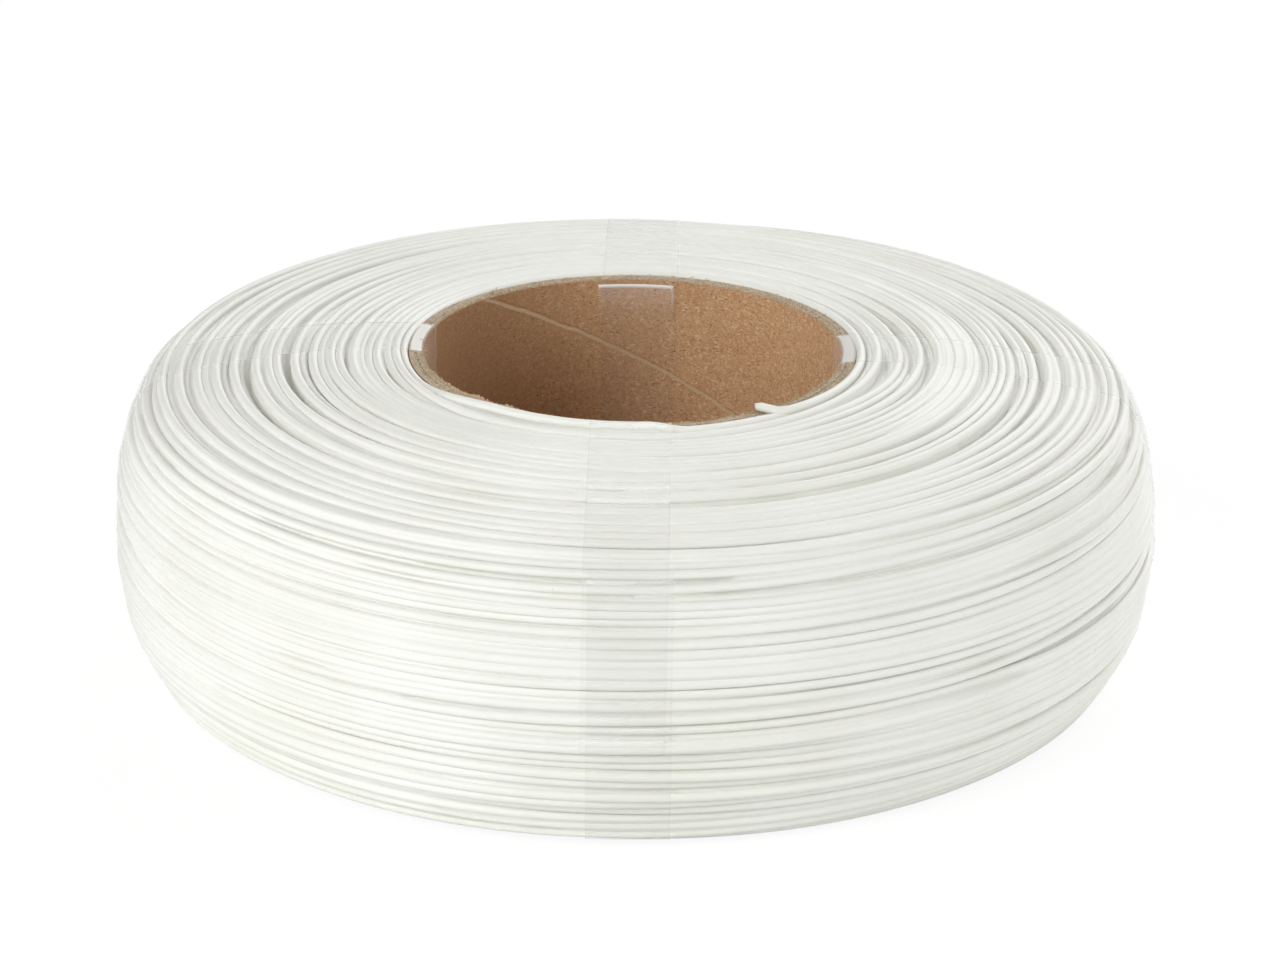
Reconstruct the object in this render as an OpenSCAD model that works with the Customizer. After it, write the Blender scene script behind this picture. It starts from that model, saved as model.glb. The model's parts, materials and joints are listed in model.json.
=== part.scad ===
// Filament refill: a flangeless winding of plastic filament on a cardboard core,
// held together by four clear tape bands that pass through the bore.
// The roll lies flat: Z is the axis of the bore and z = 0 is the surface it rests on.

/* [Cardboard core] */
// Diameter of the bore that goes over a spool hub
bore_d = 80; // [70:1:90]
// Thickness of the kraft liner that faces the bore
inner_liner_t = 0.4; // [0.3:0.05:0.6]
// Thickness of each grey board ply
ply_t = 0.48; // [0.4:0.02:0.6]
// Thickness of the kraft liner under the filament
outer_liner_t = 0.4; // [0.3:0.05:0.6]
// Glue line between two neighbouring layers of the core
glue_t = 0.02; // [0.01:0.01:0.05]
// Depth of the core's upper rim under the top of the winding
core_drop = 0.9; // [0.3:0.1:2]
// Height of the core's lower end above the underside of the winding
core_lift = 0.5; // [0.2:0.1:1.5]

/* [Winding] */
// Diameter of the filament
filament_d = 1.75; // [1.6:0.05:1.85]
// Diameter of the winding over its widest strands
winding_d = 200; // [180:1:220]
// Height of the winding beside the core
winding_h = 59.8; // [50:0.1:66]
// Fall of the top face from the core to its outer edge
crown_drop = 5.5; // [2:0.5:8]
// Rise of the underside from its flat part to its outer edge
underside_rise = 1.2; // [0.4:0.1:3]
// Width of the rising stretch outside the flat part of the underside
underside_rise_w = 13; // [8:1:25]
// Height of the widest point of the outer wall
widest_z = 26; // [20:1:34]
// How far the outer wall draws in at its top edge
top_draw_in = 7; // [4:0.5:9]
// How far the outer wall draws in at its bottom edge
bottom_draw_in = 7; // [4:0.5:9]
// Power of the wall's bulge, where 2 is a parabola
bulge_power = 2.6; // [2:0.1:3.5]
// Reach of the rounding where a face meets the outer wall
shoulder = 3; // [2:0.5:4]
// Loops of the outer layer
outer_loops = 24; // [16:1:24]
// Gap between two neighbouring strands where the layers end on a face
face_gap = 0.05; // [0.02:0.01:0.3]
// Depth of the grooves between the strands on a face
face_groove = 1.2; // [0.6:0.1:1.4]
// Clearance between the winding and what it lies on
winding_gap = 0.05; // [0.02:0.01:0.1]

/* [Inner end of the filament] */
// Angle of the kink, counted from the front towards the right
kink_az = 42; // [25:1:45]
// Stretch of the innermost loop that ends in the kink
last_arc = 32; // [20:1:34]
// Angle of the kink
kink_angle = 43; // [30:1:50]
// Bend radius of the kink
kink_r = 3; // [2.5:0.1:4]
// Length of the straight stub past the kink
stub_l = 3; // [2:0.1:3.5]
// Clearance round the stretch in its groove
groove_gap = 0.05; // [0.02:0.01:0.1]

/* [Tape] */
// Width of a tape band
tape_w = 15; // [12:0.5:18]
// Thickness of the tape
tape_t = 0.08; // [0.05:0.01:0.1]
// Glue line under the tape
tape_gap = 0.02; // [0.01:0.01:0.03]
// Distance of a lap on the outer wall from the wall's top edge
wall_lap_down = 4.5; // [4:0.5:10]
// Height of such a lap, from its start to the cut end of the tape
wall_lap_l = 29; // [15:1:35]
// Distance of the cut end inside the bore from the core's upper rim
bore_cut_down = 1; // [0.5:0.1:5]
// Length of the lap inside the bore
bore_lap_l = 34; // [20:1:45]

/* [Hidden] */
smooth = 180;

// Steps along each stretch of the winding's section
face_steps = 10;
shoulder_steps = 4;
wall_steps = 18;
edge_steps = 4;
// Rings of each outer loop, sides of its section, and the step between two rings
loop_rings = 24;
loop_sides = 6;
ring_step = 360 / loop_rings;
// Steps along the inner end's arc and kink, and sides of its section
arc_steps = 12;
kink_steps = 6;
end_sides = 12;

bore_r = bore_d / 2;
outer_r = winding_d / 2;
base_z = tape_t + tape_gap;
core_z = base_z + core_lift;
core_length = winding_h - core_lift - core_drop;
core_top = core_z + core_length;
plies_r = bore_r + inner_liner_t + glue_t;
outer_liner_r = plies_r + 4 * (ply_t + glue_t);
core_r = outer_liner_r + outer_liner_t;
pack_r = core_r + winding_gap;
winding_top = base_z + winding_h;
top_edge_z = winding_top - crown_drop;
top_edge_r = outer_r - top_draw_in;
bottom_edge_z = base_z + underside_rise;
bottom_edge_r = outer_r - bottom_draw_in;
flat_r = bottom_edge_r - underside_rise_w;
strand_r = filament_d / 2;
// The tape curves over the straight runs of the outer strand, which lie this much deeper
tape_sag = outer_r - sqrt(outer_r * outer_r - tape_w * tape_w / 4);
// The innermost loop beside the core
inner_loop_r = pack_r + strand_r;
inner_loop_z = winding_top - strand_r;

kraft = [0.67, 0.48, 0.34];
greyboard = [0.50, 0.47, 0.42];
plastic = [0.93, 0.93, 0.90];
film = [0.85, 0.88, 0.88, 0.45];

// ---- Section of the winding, as points of radius and height ----

// Height of the top face at radius r
function top_z(r) = winding_top - crown_drop * pow((r - pack_r) / (top_edge_r - pack_r), 2);

// Height of the underside at radius r
function underside_z(r) =
    base_z + underside_rise * pow(max(0, r - flat_r) / (bottom_edge_r - flat_r), 2);

// Radius of the outer wall at height z
function wall_r(z) = z > widest_z
    ? outer_r - top_draw_in * pow((z - widest_z) / (top_edge_z - widest_z), bulge_power)
    : outer_r - bottom_draw_in * pow((widest_z - z) / (widest_z - bottom_edge_z), bulge_power);

// Rounding from point a to point b, drawn towards the corner between them
function bend(a, corner, b, steps) = [
    for (i = [0:steps])
        let(u = i / steps) (1 - u) * (1 - u) * a + 2 * u * (1 - u) * corner + u * u * b
];

// Round of the innermost strand at height z, from angle a0 to a1 about its centre
function strand_round(z, a0, a1) = [
    for (i = [0:edge_steps]) let(a = a0 + (a1 - a0) * i / edge_steps)
        [inner_loop_r + strand_r * cos(a), z + strand_r * sin(a)]
];

top_face_end = top_edge_r - shoulder;
underside_end = bottom_edge_r - shoulder;
wall_top = top_edge_z - shoulder;
wall_bottom = bottom_edge_z + shoulder;

top_face = [
    for (i = [0:face_steps])
        let(r = inner_loop_r + (top_face_end - inner_loop_r) * i / face_steps) [r, top_z(r)]
];
top_shoulder = bend([top_face_end, top_z(top_face_end)], [top_edge_r, top_edge_z],
    [wall_r(wall_top), wall_top], shoulder_steps);
wall = [
    for (i = [0:wall_steps]) let(z = wall_top + (wall_bottom - wall_top) * i / wall_steps) [wall_r(z), z]
];
bottom_shoulder = bend([wall_r(wall_bottom), wall_bottom], [bottom_edge_r, bottom_edge_z],
    [underside_end, underside_z(underside_end)], shoulder_steps);
underside = [
    for (i = [0:face_steps / 2])
        let(r = underside_end + (flat_r - underside_end) * i * 2 / face_steps) [r, underside_z(r)]
];

// Each stretch without its first point, which the stretch before it ends on
function rest_of(points) = [for (i = [1:len(points) - 1]) points[i]];

// Strands on a face whose section runs from the innermost loop to radius end
function face_strands(end) = floor((end - strand_r - inner_loop_r) / (filament_d + face_gap));

// Rounds of the strands on a face, from the innermost one's crest outwards. Their crests lie
// on the face's points, and up is 1 on the top face and -1 on the underside.
function face_rounds(face, end, up) =
    let(steps = face_strands(end))
    let(pitch = (end - strand_r - inner_loop_r) / steps)
    let(half_w = strand_r * cos(30))
    [
        for (i = [0:steps])
            let(r = inner_loop_r + pitch * i)
            let(z = lookup(r, face))
            each concat(
                i == 0 ? [] : [[r - half_w, z - up * strand_r / 2]],
                [[r, z], [r + half_w, z - up * strand_r / 2]],
                i == steps
                    ? [[end, z - up * strand_r]]
                    : [[r + pitch / 2, lookup(r + pitch / 2, face) - up * face_groove]]
            )
    ];

// A list from its end to its start
function backwards(points) = [for (i = [len(points) - 1:-1:0]) points[i]];

// The outer layer's stretch of the section, from the top face to the underside
flank = concat(top_shoulder, rest_of(wall), rest_of(bottom_shoulder));

// ---- Paths ----

function unit(v) = v / norm(v);

// Outward side of the stretch from a to b, for a path that runs clockwise round the section
function side(a, b) = let(d = unit(b - a)) [-d[1], d[0]];

// Point i of an open path, moved out by a distance
function shifted(path, i, distance) =
    let(last = len(path) - 1, here = path[i])
    let(before = side(path[max(i, 1) - 1], path[max(i, 1)]))
    let(after = side(path[min(i, last - 1)], path[min(i, last - 1) + 1]))
    here + (before + after) * distance / (1 + before * after);

// An open path moved out by a distance
function offset_path(path, distance) = [for (i = [0:len(path) - 1]) shifted(path, i, distance)];

// Distance along a path up to each of its points
function run_lengths(path, i = 0, sum = 0) = i == len(path) - 1
    ? [sum]
    : concat([sum], run_lengths(path, i + 1, sum + norm(path[i + 1] - path[i])));

// Point at distance s along a path whose run lengths are known
function point_at(path, runs, s) = [
    lookup(s, [for (i = [0:len(path) - 1]) [runs[i], path[i][0]]]),
    lookup(s, [for (i = [0:len(path) - 1]) [runs[i], path[i][1]]])
];

// ---- Cardboard core ----

// One paper layer of the core
module core_layer(inner_r, thickness) {
    translate([0, 0, core_z]) difference() {
        cylinder(h = core_length, r = inner_r + thickness, $fn = smooth);
        translate([0, 0, -1]) cylinder(h = core_length + 2, r = inner_r, $fn = smooth);
    }
}

// Grey board ply, counted from the bore
module core_ply(number) {
    color(greyboard) core_layer(plies_r + (number - 1) * (ply_t + glue_t), ply_t);
}

module core_inner_liner() {
    color(kraft) core_layer(bore_r, inner_liner_t);
}

module core_outer_liner() {
    color(kraft) core_layer(outer_liner_r, outer_liner_t);
}

// ---- Filament ----

// A ring of a strand is the centre of its section and the direction away from the bend
function ring_at(centre, r, z, angle) =
    let(out = [cos(angle), sin(angle), 0]) [[centre[0], centre[1], z] + r * out, out];

// Corners of the strand's section at a ring
function ring_corners(ring, sides) = [
    for (i = [0:sides - 1])
        let(a = i * 360 / sides) ring[0] + strand_r * (cos(a) * ring[1] + [0, 0, sin(a)])
];

// Filament swept through a list of rings that turn the same way as their angles
module strand(rings, sides) {
    corners = [for (ring = rings) each ring_corners(ring, sides)];
    last = (len(rings) - 1) * sides;
    side_faces = [
        for (a = [0:sides:last - 1], i = [0:sides - 1])
            let(j = (i + 1) % sides)
            each [[a + i, a + sides + i, a + j], [a + j, a + sides + i, a + sides + j]]
    ];
    end_faces = [for (i = [1:sides - 2]) each [[0, i, i + 1], [last, last + i + 1, last + i]]];
    color(plastic) polyhedron(points = corners, faces = concat(side_faces, end_faces));
}

kink_start = kink_az - 90;
kink_centre = (inner_loop_r - kink_r) * [cos(kink_start), sin(kink_start)];
stub_turn = kink_start - kink_angle;
stub_tip = kink_centre + stub_l * [sin(stub_turn), -cos(stub_turn)];

// The inner end: a stub that lies over the core's rim, a kink, and the end of a loop
module filament_inner_end() {
    stub = [ring_at(stub_tip, kink_r, inner_loop_z, stub_turn)];
    kink = [
        for (i = [0:kink_steps])
            ring_at(kink_centre, kink_r, inner_loop_z, stub_turn + kink_angle * i / kink_steps)
    ];
    arc = [
        for (i = [1:arc_steps])
            ring_at([0, 0], inner_loop_r, inner_loop_z, kink_start + last_arc * i / arc_steps)
    ];
    strand(concat(stub, kink, arc), end_sides);
}

// Groove for the inner end, open upwards
module inner_end_groove() {
    groove_w = filament_d + 2 * groove_gap;
    translate([0, 0, inner_loop_z - groove_w / 2]) rotate([0, 0, kink_start]) {
        rotate_extrude(angle = last_arc, $fn = smooth)
            translate([inner_loop_r - groove_w / 2, 0]) square([groove_w, 2 * groove_w]);
        translate([inner_loop_r - kink_r, 0, 0]) rotate([0, 0, -kink_angle])
            rotate_extrude(angle = kink_angle, $fn = smooth)
                translate([kink_r - groove_w / 2, 0]) square([groove_w, 2 * groove_w]);
    }
}

// All layers under the outer one, with the crowned faces that their edges make. The stub
// has left the winding where its kink ends, so the groove follows only the arc and the kink.
module filament_pack() {
    under_layer = offset_path(flank, -filament_d - tape_sag - winding_gap);
    section = concat(
        strand_round(inner_loop_z, 180, 90),
        rest_of(face_rounds(top_face, top_face_end, 1)),
        under_layer,
        backwards(face_rounds(concat([[inner_loop_r, base_z]], underside), underside_end, -1)),
        rest_of(strand_round(base_z + strand_r, 270, 180))
    );
    color(plastic) difference() {
        rotate_extrude($fn = smooth) polygon(section);
        inner_end_groove();
    }
}

// Centre of the outer strand's section along the flank
strand_track = offset_path(flank, -strand_r - tape_sag);
track_runs = run_lengths(strand_track);
track_end = track_runs[len(track_runs) - 1] - strand_r - winding_gap;
track_start = strand_r + winding_gap;
outer_rings = outer_loops * loop_rings + 1;
rear = 90;

// Rings of the outer layer: both ends lie at the rear, halfway between two rings
function ring_turn(k) = k == 0 ? 0 : min(k - 0.5, outer_rings - 1) * ring_step;

// Ring k; the straight runs between rings touch the track in their middle
function ring_of(k) =
    let(turn = ring_turn(k))
    let(s = track_start + (track_end - track_start) * turn / (360 * outer_loops))
    let(p = point_at(strand_track, track_runs, s))
    let(is_end = k == 0 || k == outer_rings)
    ring_at([0, 0], is_end ? p[0] : p[0] / cos(ring_step / 2), p[1], rear + turn);

outer_layer = [for (k = [0:outer_rings]) ring_of(k)];

// Distance from point p to the stretch between a and b
function distance_to(p, a, b) =
    let(u = max(0, min(1, (p - a) * (b - a) / ((b - a) * (b - a))))) norm(p - a - u * (b - a));

// Least gap between a loop and the next one, measured at every ring
least_gap = min([
    for (k = [0:outer_rings - loop_rings - 2], j = [loop_rings - 1:loop_rings + 1])
        if (k + j + 1 <= outer_rings)
            distance_to(outer_layer[k][0], outer_layer[k + j][0], outer_layer[k + j + 1][0])
                - filament_d
]);
echo(str("outer layer: least gap of the strand to itself ", least_gap, " mm"));

module filament_outer_layer() {
    strand(outer_layer, loop_sides);
}

// ---- Tape ----

// Angle at which a band that comes off a rim of the bore, at height rim_z, first touches the
// innermost strand at height z, seen from the strand's centre; up is 1 or -1
function touch_angle(rim_z, z, up) =
    let(reach = [bore_r - inner_loop_r, rim_z - z])
    let(towards_rim = 180 + atan(reach[1] / reach[0]))
    towards_rim - up * acos(strand_r / norm(reach));

// The way round the ring section that a tape takes: up the bore, out over the top face,
// down the wall and in along the underside. Heights inside the bore are given as a list.
function wrap(bore_heights) = concat(
    [for (z = bore_heights) [bore_r, z]],
    strand_round(inner_loop_z, touch_angle(core_top, inner_loop_z, 1), 90),
    rest_of(top_face),
    rest_of(flank),
    rest_of(underside),
    strand_round(base_z + strand_r, 270, touch_angle(core_z, base_z + strand_r, -1))
);

// A strip that starts at point first of a closed path, goes once round and ends on top of
// its own start, at point first + lap
function strip(path, first, lap) =
    let(n = len(path))
    let(loop = [for (k = [-1:n + lap + 1]) path[(first + k + n) % n]])
    let(lift = [for (k = [0:n + lap]) k < n - 1 ? tape_gap : 2 * tape_gap + tape_t])
    concat(
        [for (k = [0:n + lap]) shifted(loop, k + 1, lift[k] + tape_t)],
        [for (k = [n + lap:-1:0]) shifted(loop, k + 1, lift[k])]
    );

// A band of tape at an angle from the front, cut from a revolved strip
module band(az, outline) {
    color(film) rotate([0, 0, az]) intersection() {
        rotate_extrude($fn = smooth) polygon(outline);
        translate([-tape_w / 2, -outer_r - 1, -1]) cube([tape_w, outer_r + 1, winding_top + 2]);
    }
}

// Number of the first point of a path, counting from point n, that lies under height z
function first_under(path, z, n = 0) = path[n][1] < z ? n : first_under(path, z, n + 1);

// A band whose ends lap on the outer wall
module wall_lapped_band(az) {
    bore_heights = [core_z, core_top];
    path = wrap(bore_heights);
    lap_z = top_edge_z - wall_lap_down;
    first = first_under(path, lap_z, len(bore_heights));
    end = first_under(path, lap_z - wall_lap_l, first);
    band(az, strip(path, first, end - first));
}

// A band whose ends lap inside the bore, the outer end cut just under the upper rim
module bore_lapped_band(az) {
    cut_z = core_top - bore_cut_down;
    path = wrap([core_z, cut_z - bore_lap_l - 1, cut_z - bore_lap_l, cut_z, core_top]);
    band(az, strip(path, 2, 1));
}

module tape_front() {
    wall_lapped_band(0);
}

module tape_right() {
    wall_lapped_band(90);
}

module tape_rear() {
    bore_lapped_band(180);
}

module tape_left() {
    wall_lapped_band(-90);
}

core_inner_liner();
core_ply(1);  // core_ply_1
core_ply(2);  // core_ply_2
core_ply(3);  // core_ply_3
core_ply(4);  // core_ply_4
core_outer_liner();
filament_pack();
filament_outer_layer();
filament_inner_end();
tape_front();
tape_right();
tape_rear();
tape_left();
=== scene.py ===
"""Studio scene of a flangeless filament refill: a wound coil of white strand on a cardboard core.

The coil is wound turn by turn in code, so every strand rests on the ones below it, and four clear tape
bands are then drawn taut round the result. Sizes are millimetres in the code and metres in the meshes.
"""

import json
import logging
import math
from dataclasses import dataclass, field
from enum import Enum, IntEnum
from typing import Iterable, Sequence

import bmesh
import bpy
import numpy as np
from bpy.types import Material, Node, NodeSocket, NodeTree, Object
from mathutils import Matrix, Vector

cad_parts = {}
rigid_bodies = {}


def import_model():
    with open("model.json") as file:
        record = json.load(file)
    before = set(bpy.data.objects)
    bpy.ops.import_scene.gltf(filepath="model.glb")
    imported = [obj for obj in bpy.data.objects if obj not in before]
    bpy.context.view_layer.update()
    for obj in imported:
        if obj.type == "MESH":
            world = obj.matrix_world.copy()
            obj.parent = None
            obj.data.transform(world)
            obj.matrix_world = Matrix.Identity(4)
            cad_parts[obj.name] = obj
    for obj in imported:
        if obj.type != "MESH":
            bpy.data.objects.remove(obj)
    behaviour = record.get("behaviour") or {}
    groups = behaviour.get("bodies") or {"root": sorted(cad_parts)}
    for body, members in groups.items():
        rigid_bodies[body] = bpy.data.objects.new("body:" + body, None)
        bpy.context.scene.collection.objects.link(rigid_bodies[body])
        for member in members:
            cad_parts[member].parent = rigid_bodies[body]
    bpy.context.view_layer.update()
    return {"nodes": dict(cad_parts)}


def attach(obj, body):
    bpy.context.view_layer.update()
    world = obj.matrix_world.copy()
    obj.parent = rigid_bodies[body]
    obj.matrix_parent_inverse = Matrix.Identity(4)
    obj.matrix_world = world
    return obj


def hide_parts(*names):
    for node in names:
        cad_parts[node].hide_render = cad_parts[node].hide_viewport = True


Array = np.ndarray
LOG = logging.getLogger("refill")
MM = 0.001
FULL_TURN = 360.0
WHITE = (1.0, 1.0, 1.0, 1.0)
BODY = "root"
# The sRGB curve: where its straight foot ends, the foot's slope, and the offset and power above it
SRGB_FOOT, SRGB_SLOPE, SRGB_OFFSET, SRGB_POWER = 0.04045, 12.92, 0.055, 2.4


# ---------------------------------------------------------------- shared helpers


def linear(hex_code: str) -> tuple[float, float, float, float]:
    """Turn an sRGB hex colour into the linear colour that shaders take.

    Args:
        hex_code: six hex digits, such as "ecede8".

    Returns:
        Linear red, green and blue, and an alpha of one.
    """
    parts = [int(hex_code[i:i + 2], 16) / 255.0 for i in (0, 2, 4)]
    lin = [p / SRGB_SLOPE if p <= SRGB_FOOT else ((p + SRGB_OFFSET) / (1 + SRGB_OFFSET)) ** SRGB_POWER
           for p in parts]
    return (lin[0], lin[1], lin[2], 1.0)


def put(tree: NodeTree, node: Node, values: dict) -> None:
    """Set a node's properties and inputs.

    Args:
        tree: the tree that the node is in.
        node: the node.
        values: a constant, or the output socket that feeds it, for each property or input, by name or index.
    """
    for key, value in values.items():
        if isinstance(value, NodeSocket):
            tree.links.new(value, node.inputs[key])
        elif isinstance(key, str) and hasattr(node, key):
            setattr(node, key, value)
        else:
            node.inputs[key].default_value = value


def add_node(tree: NodeTree, kind: str, values: dict | None = None) -> Node:
    """Add one node to a tree with its settings and links.

    Args:
        tree: the shader or geometry tree.
        kind: the node's type name.
        values: its properties and inputs, as in put.

    Returns:
        The new node.
    """
    node = tree.nodes.new(kind)
    put(tree, node, values or {})
    return node


def mesh_object(name: str, points: Array, faces: Sequence[Sequence[int]],
                edges: Sequence[Sequence[int]] = ()) -> Object:
    """Make a mesh object at the origin from points in millimetres.

    Args:
        name: the object's name.
        points: an N by 3 array in millimetres.
        faces: vertex indices of each face.
        edges: vertex indices of loose edges.

    Returns:
        The object, linked to the scene.
    """
    mesh = bpy.data.meshes.new(name)
    mesh.from_pydata((np.asarray(points) * MM).tolist(), [list(e) for e in edges], [list(f) for f in faces])
    mesh.update()
    made = bpy.data.objects.new(name, mesh)
    bpy.context.scene.collection.objects.link(made)
    return made


def smooth(piece: Object) -> Object:
    """Shade every face of a piece smoothly."""
    piece.data.polygons.foreach_set("use_smooth", [True] * len(piece.data.polygons))
    return piece


def fix_normals(piece: Object) -> None:
    """Turn the faces of a closed mesh outwards.

    Args:
        piece: the mesh object.
    """
    work = bmesh.new()
    work.from_mesh(piece.data)
    bmesh.ops.recalc_face_normals(work, faces=work.faces)
    work.to_mesh(piece.data)
    work.free()


def polar(radius: Array, azimuth: Array, height: Array) -> Array:
    """Place points by radius, azimuth in radians from the front towards the right, and height."""
    return np.stack([radius * np.sin(azimuth), -radius * np.cos(azimuth), height], axis=-1)


def ease_in_out(share: Array) -> Array:
    """Let a share from 0 to 1 start and stop gently."""
    return share * share * (3.0 - 2.0 * share)


def even_out(line: Array, step: float) -> Array:
    """Space the points of a closed line evenly.

    Args:
        line: radius and height of each point.
        step: distance between the new points in millimetres.

    Returns:
        The evenly spaced points.
    """
    closed = np.vstack([line, line[:1]])
    length = np.concatenate([[0], np.cumsum(np.linalg.norm(np.diff(closed, axis=0), axis=1))])
    at = np.linspace(0, length[-1], int(length[-1] / step), endpoint=False)
    return np.stack([np.interp(at, length, closed[:, 0]), np.interp(at, length, closed[:, 1])], axis=1)


def frames(line: Array) -> tuple[Array, Array]:
    """Find the directions along a closed line that runs clockwise.

    Args:
        line: radius and height of each point.

    Returns:
        Unit tangents and outward normals.
    """
    tangent = np.roll(line, -1, axis=0) - np.roll(line, 1, axis=0)
    tangent /= np.linalg.norm(tangent, axis=1)[:, None]
    return tangent, np.stack([-tangent[:, 1], tangent[:, 0]], axis=1)


def grid_faces(rows: int, columns: int, close_rows: bool = False, close_columns: bool = False,
               start: int = 0) -> list[tuple[int, int, int, int]]:
    """List the quads of a grid of vertices.

    Args:
        rows: number of rows.
        columns: number of vertices in a row.
        close_rows: join the last row to the first.
        close_columns: join the last vertex of a row to the first.
        start: index of the first vertex.

    Returns:
        Four vertex indices for each quad.
    """
    found = []
    for i in range(rows if close_rows else rows - 1):
        for j in range(columns if close_columns else columns - 1):
            a = start + i * columns + j
            b = start + i * columns + (j + 1) % columns
            c = start + ((i + 1) % rows) * columns + (j + 1) % columns
            d = start + ((i + 1) % rows) * columns + j
            found.append((a, b, c, d))
    return found


def own(piece: Object, slot: str, *nodes: str) -> Object:
    """Let a finished piece ride on the part, hide the CAD nodes that it stands for and log its faces.

    Args:
        piece: the finished mesh object.
        slot: the record's material slot; not used.
        nodes: CAD nodes that the piece replaces.

    Returns:
        The same piece.
    """
    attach(piece, BODY)
    if nodes:
        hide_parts(*nodes)
    LOG.info("%s: %d faces", piece.name, len(piece.data.polygons))
    return piece


class GeometryTree:
    """A Geometry Nodes tree with named inputs that is applied to an object and then removed."""

    def __init__(self, name: str, inputs: dict[str, str]) -> None:
        """Start the tree.

        Args:
            name: the tree's name.
            inputs: socket type of each named input, after the geometry.
        """
        self.tree = bpy.data.node_groups.new(name, "GeometryNodeTree")
        self.tree.is_modifier = True
        face = self.tree.interface
        face.new_socket("Geometry", in_out="INPUT", socket_type="NodeSocketGeometry")
        self.ids = {key: face.new_socket(key, in_out="INPUT", socket_type=kind).identifier
                    for key, kind in inputs.items()}
        face.new_socket("Geometry", in_out="OUTPUT", socket_type="NodeSocketGeometry")
        self.source = self.tree.nodes.new("NodeGroupInput").outputs

    def add(self, kind: str, values: dict | None = None) -> Node:
        """Add a node to this tree."""
        return add_node(self.tree, kind, values)

    def end(self, geometry: NodeSocket) -> None:
        """Give the geometry its finish, make it real and join it to the output.

        Args:
            geometry: the output socket of the tree's last shape.
        """
        dressed = self.add("GeometryNodeSetMaterial",
                           {"Geometry": geometry, "Material": self.source["Finish"]})
        real = self.add("GeometryNodeRealizeInstances", {"Geometry": dressed.outputs[0]})
        self.add("NodeGroupOutput", {0: real.outputs[0]})

    def apply(self, piece: Object, values: dict[str, object]) -> Object:
        """Run the tree on an object and keep the result as a plain mesh.

        Args:
            piece: the object that carries the source geometry.
            values: a value for each named input.

        Returns:
            The same object with the made mesh.
        """
        modifier = piece.modifiers.new(self.tree.name, "NODES")
        modifier.node_group = self.tree
        for key, value in values.items():
            modifier[self.ids[key]] = value
        piece.update_tag()
        graph = bpy.context.evaluated_depsgraph_get()
        graph.update()
        made = bpy.data.meshes.new_from_object(piece.evaluated_get(graph), depsgraph=graph)
        piece.modifiers.remove(modifier)
        old = piece.data
        piece.data = made
        bpy.data.meshes.remove(old)
        made.name = piece.name
        return piece


# ---------------------------------------------------------------- finishes


class Paper(Enum):
    """The papers that the core is rolled from."""

    INNER_LINER = "inner_liner"
    OUTER_LINER = "outer_liner"
    PALE_PLY = "pale_ply"
    DARK_PLY = "dark_ply"
    TORN_FIBRE = "torn_fibre"
    SAWN_EDGE = "sawn_edge"


# Settings of nodes that many finishes use
SMOOTH = {"interpolation_type": "SMOOTHSTEP"}
COLOURS = {"data_type": "RGBA"}
PLUS, MINUS, TIMES = ({"operation": name} for name in ("ADD", "SUBTRACT", "MULTIPLY"))
SIZE = {"operation": "ABSOLUTE"}


def scale(size: float) -> float:
    """Scale of a pattern whose features have a size in millimetres."""
    return 1.0 / (size * MM)


class ShaderTree:
    """A material with a Principled shader."""

    def __init__(self, name: str) -> None:
        """Start a material with a bare Principled shader.

        Args:
            name: the material's name.
        """
        self.material = bpy.data.materials.new(name)
        self.material.use_nodes = True
        self.tree = self.material.node_tree
        self.tree.nodes.clear()
        self.shader = self.add("BsdfPrincipled")
        self.output = self.add("OutputMaterial", {"Surface": self.shader.outputs[0]})
        self.place = self.out("TexCoord", {}, "Object")

    def add(self, kind: str, values: dict | None = None) -> Node:
        """Add a node to this material, by its type name without ShaderNode."""
        return add_node(self.tree, f"ShaderNode{kind}", values)

    def out(self, kind: str, values: dict | None = None, output: int | str = 0) -> NodeSocket:
        """Add a node to this material for the sake of one of its outputs.

        Args:
            kind: the node's type name without ShaderNode.
            values: its properties and inputs.
            output: name or index of the output.

        Returns:
            The output.
        """
        return self.add(kind, values).outputs[output]

    def dress(self, values: dict) -> Material:
        """Set and link the shader's own inputs.

        Args:
            values: a constant or an output socket for each input's name.

        Returns:
            The material.
        """
        put(self.tree, self.shader, values)
        return self.material


@dataclass(frozen=True)
class Grain:
    """A fine relief, drawn as coarse as it needs to show: its size and depth, and how strongly it shows."""

    size: float
    depth: float
    strength: float

    def lay(self, s: ShaderTree) -> NodeSocket:
        """Make the normal of a surface with this grain.

        Args:
            s: the material under work.

        Returns:
            The normal.
        """
        height = s.out("TexNoise", {"Scale": scale(self.size), "Vector": s.place}, "Fac")
        return s.out("Bump", {"Strength": self.strength, "Distance": self.depth * MM, "Height": height})


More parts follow.
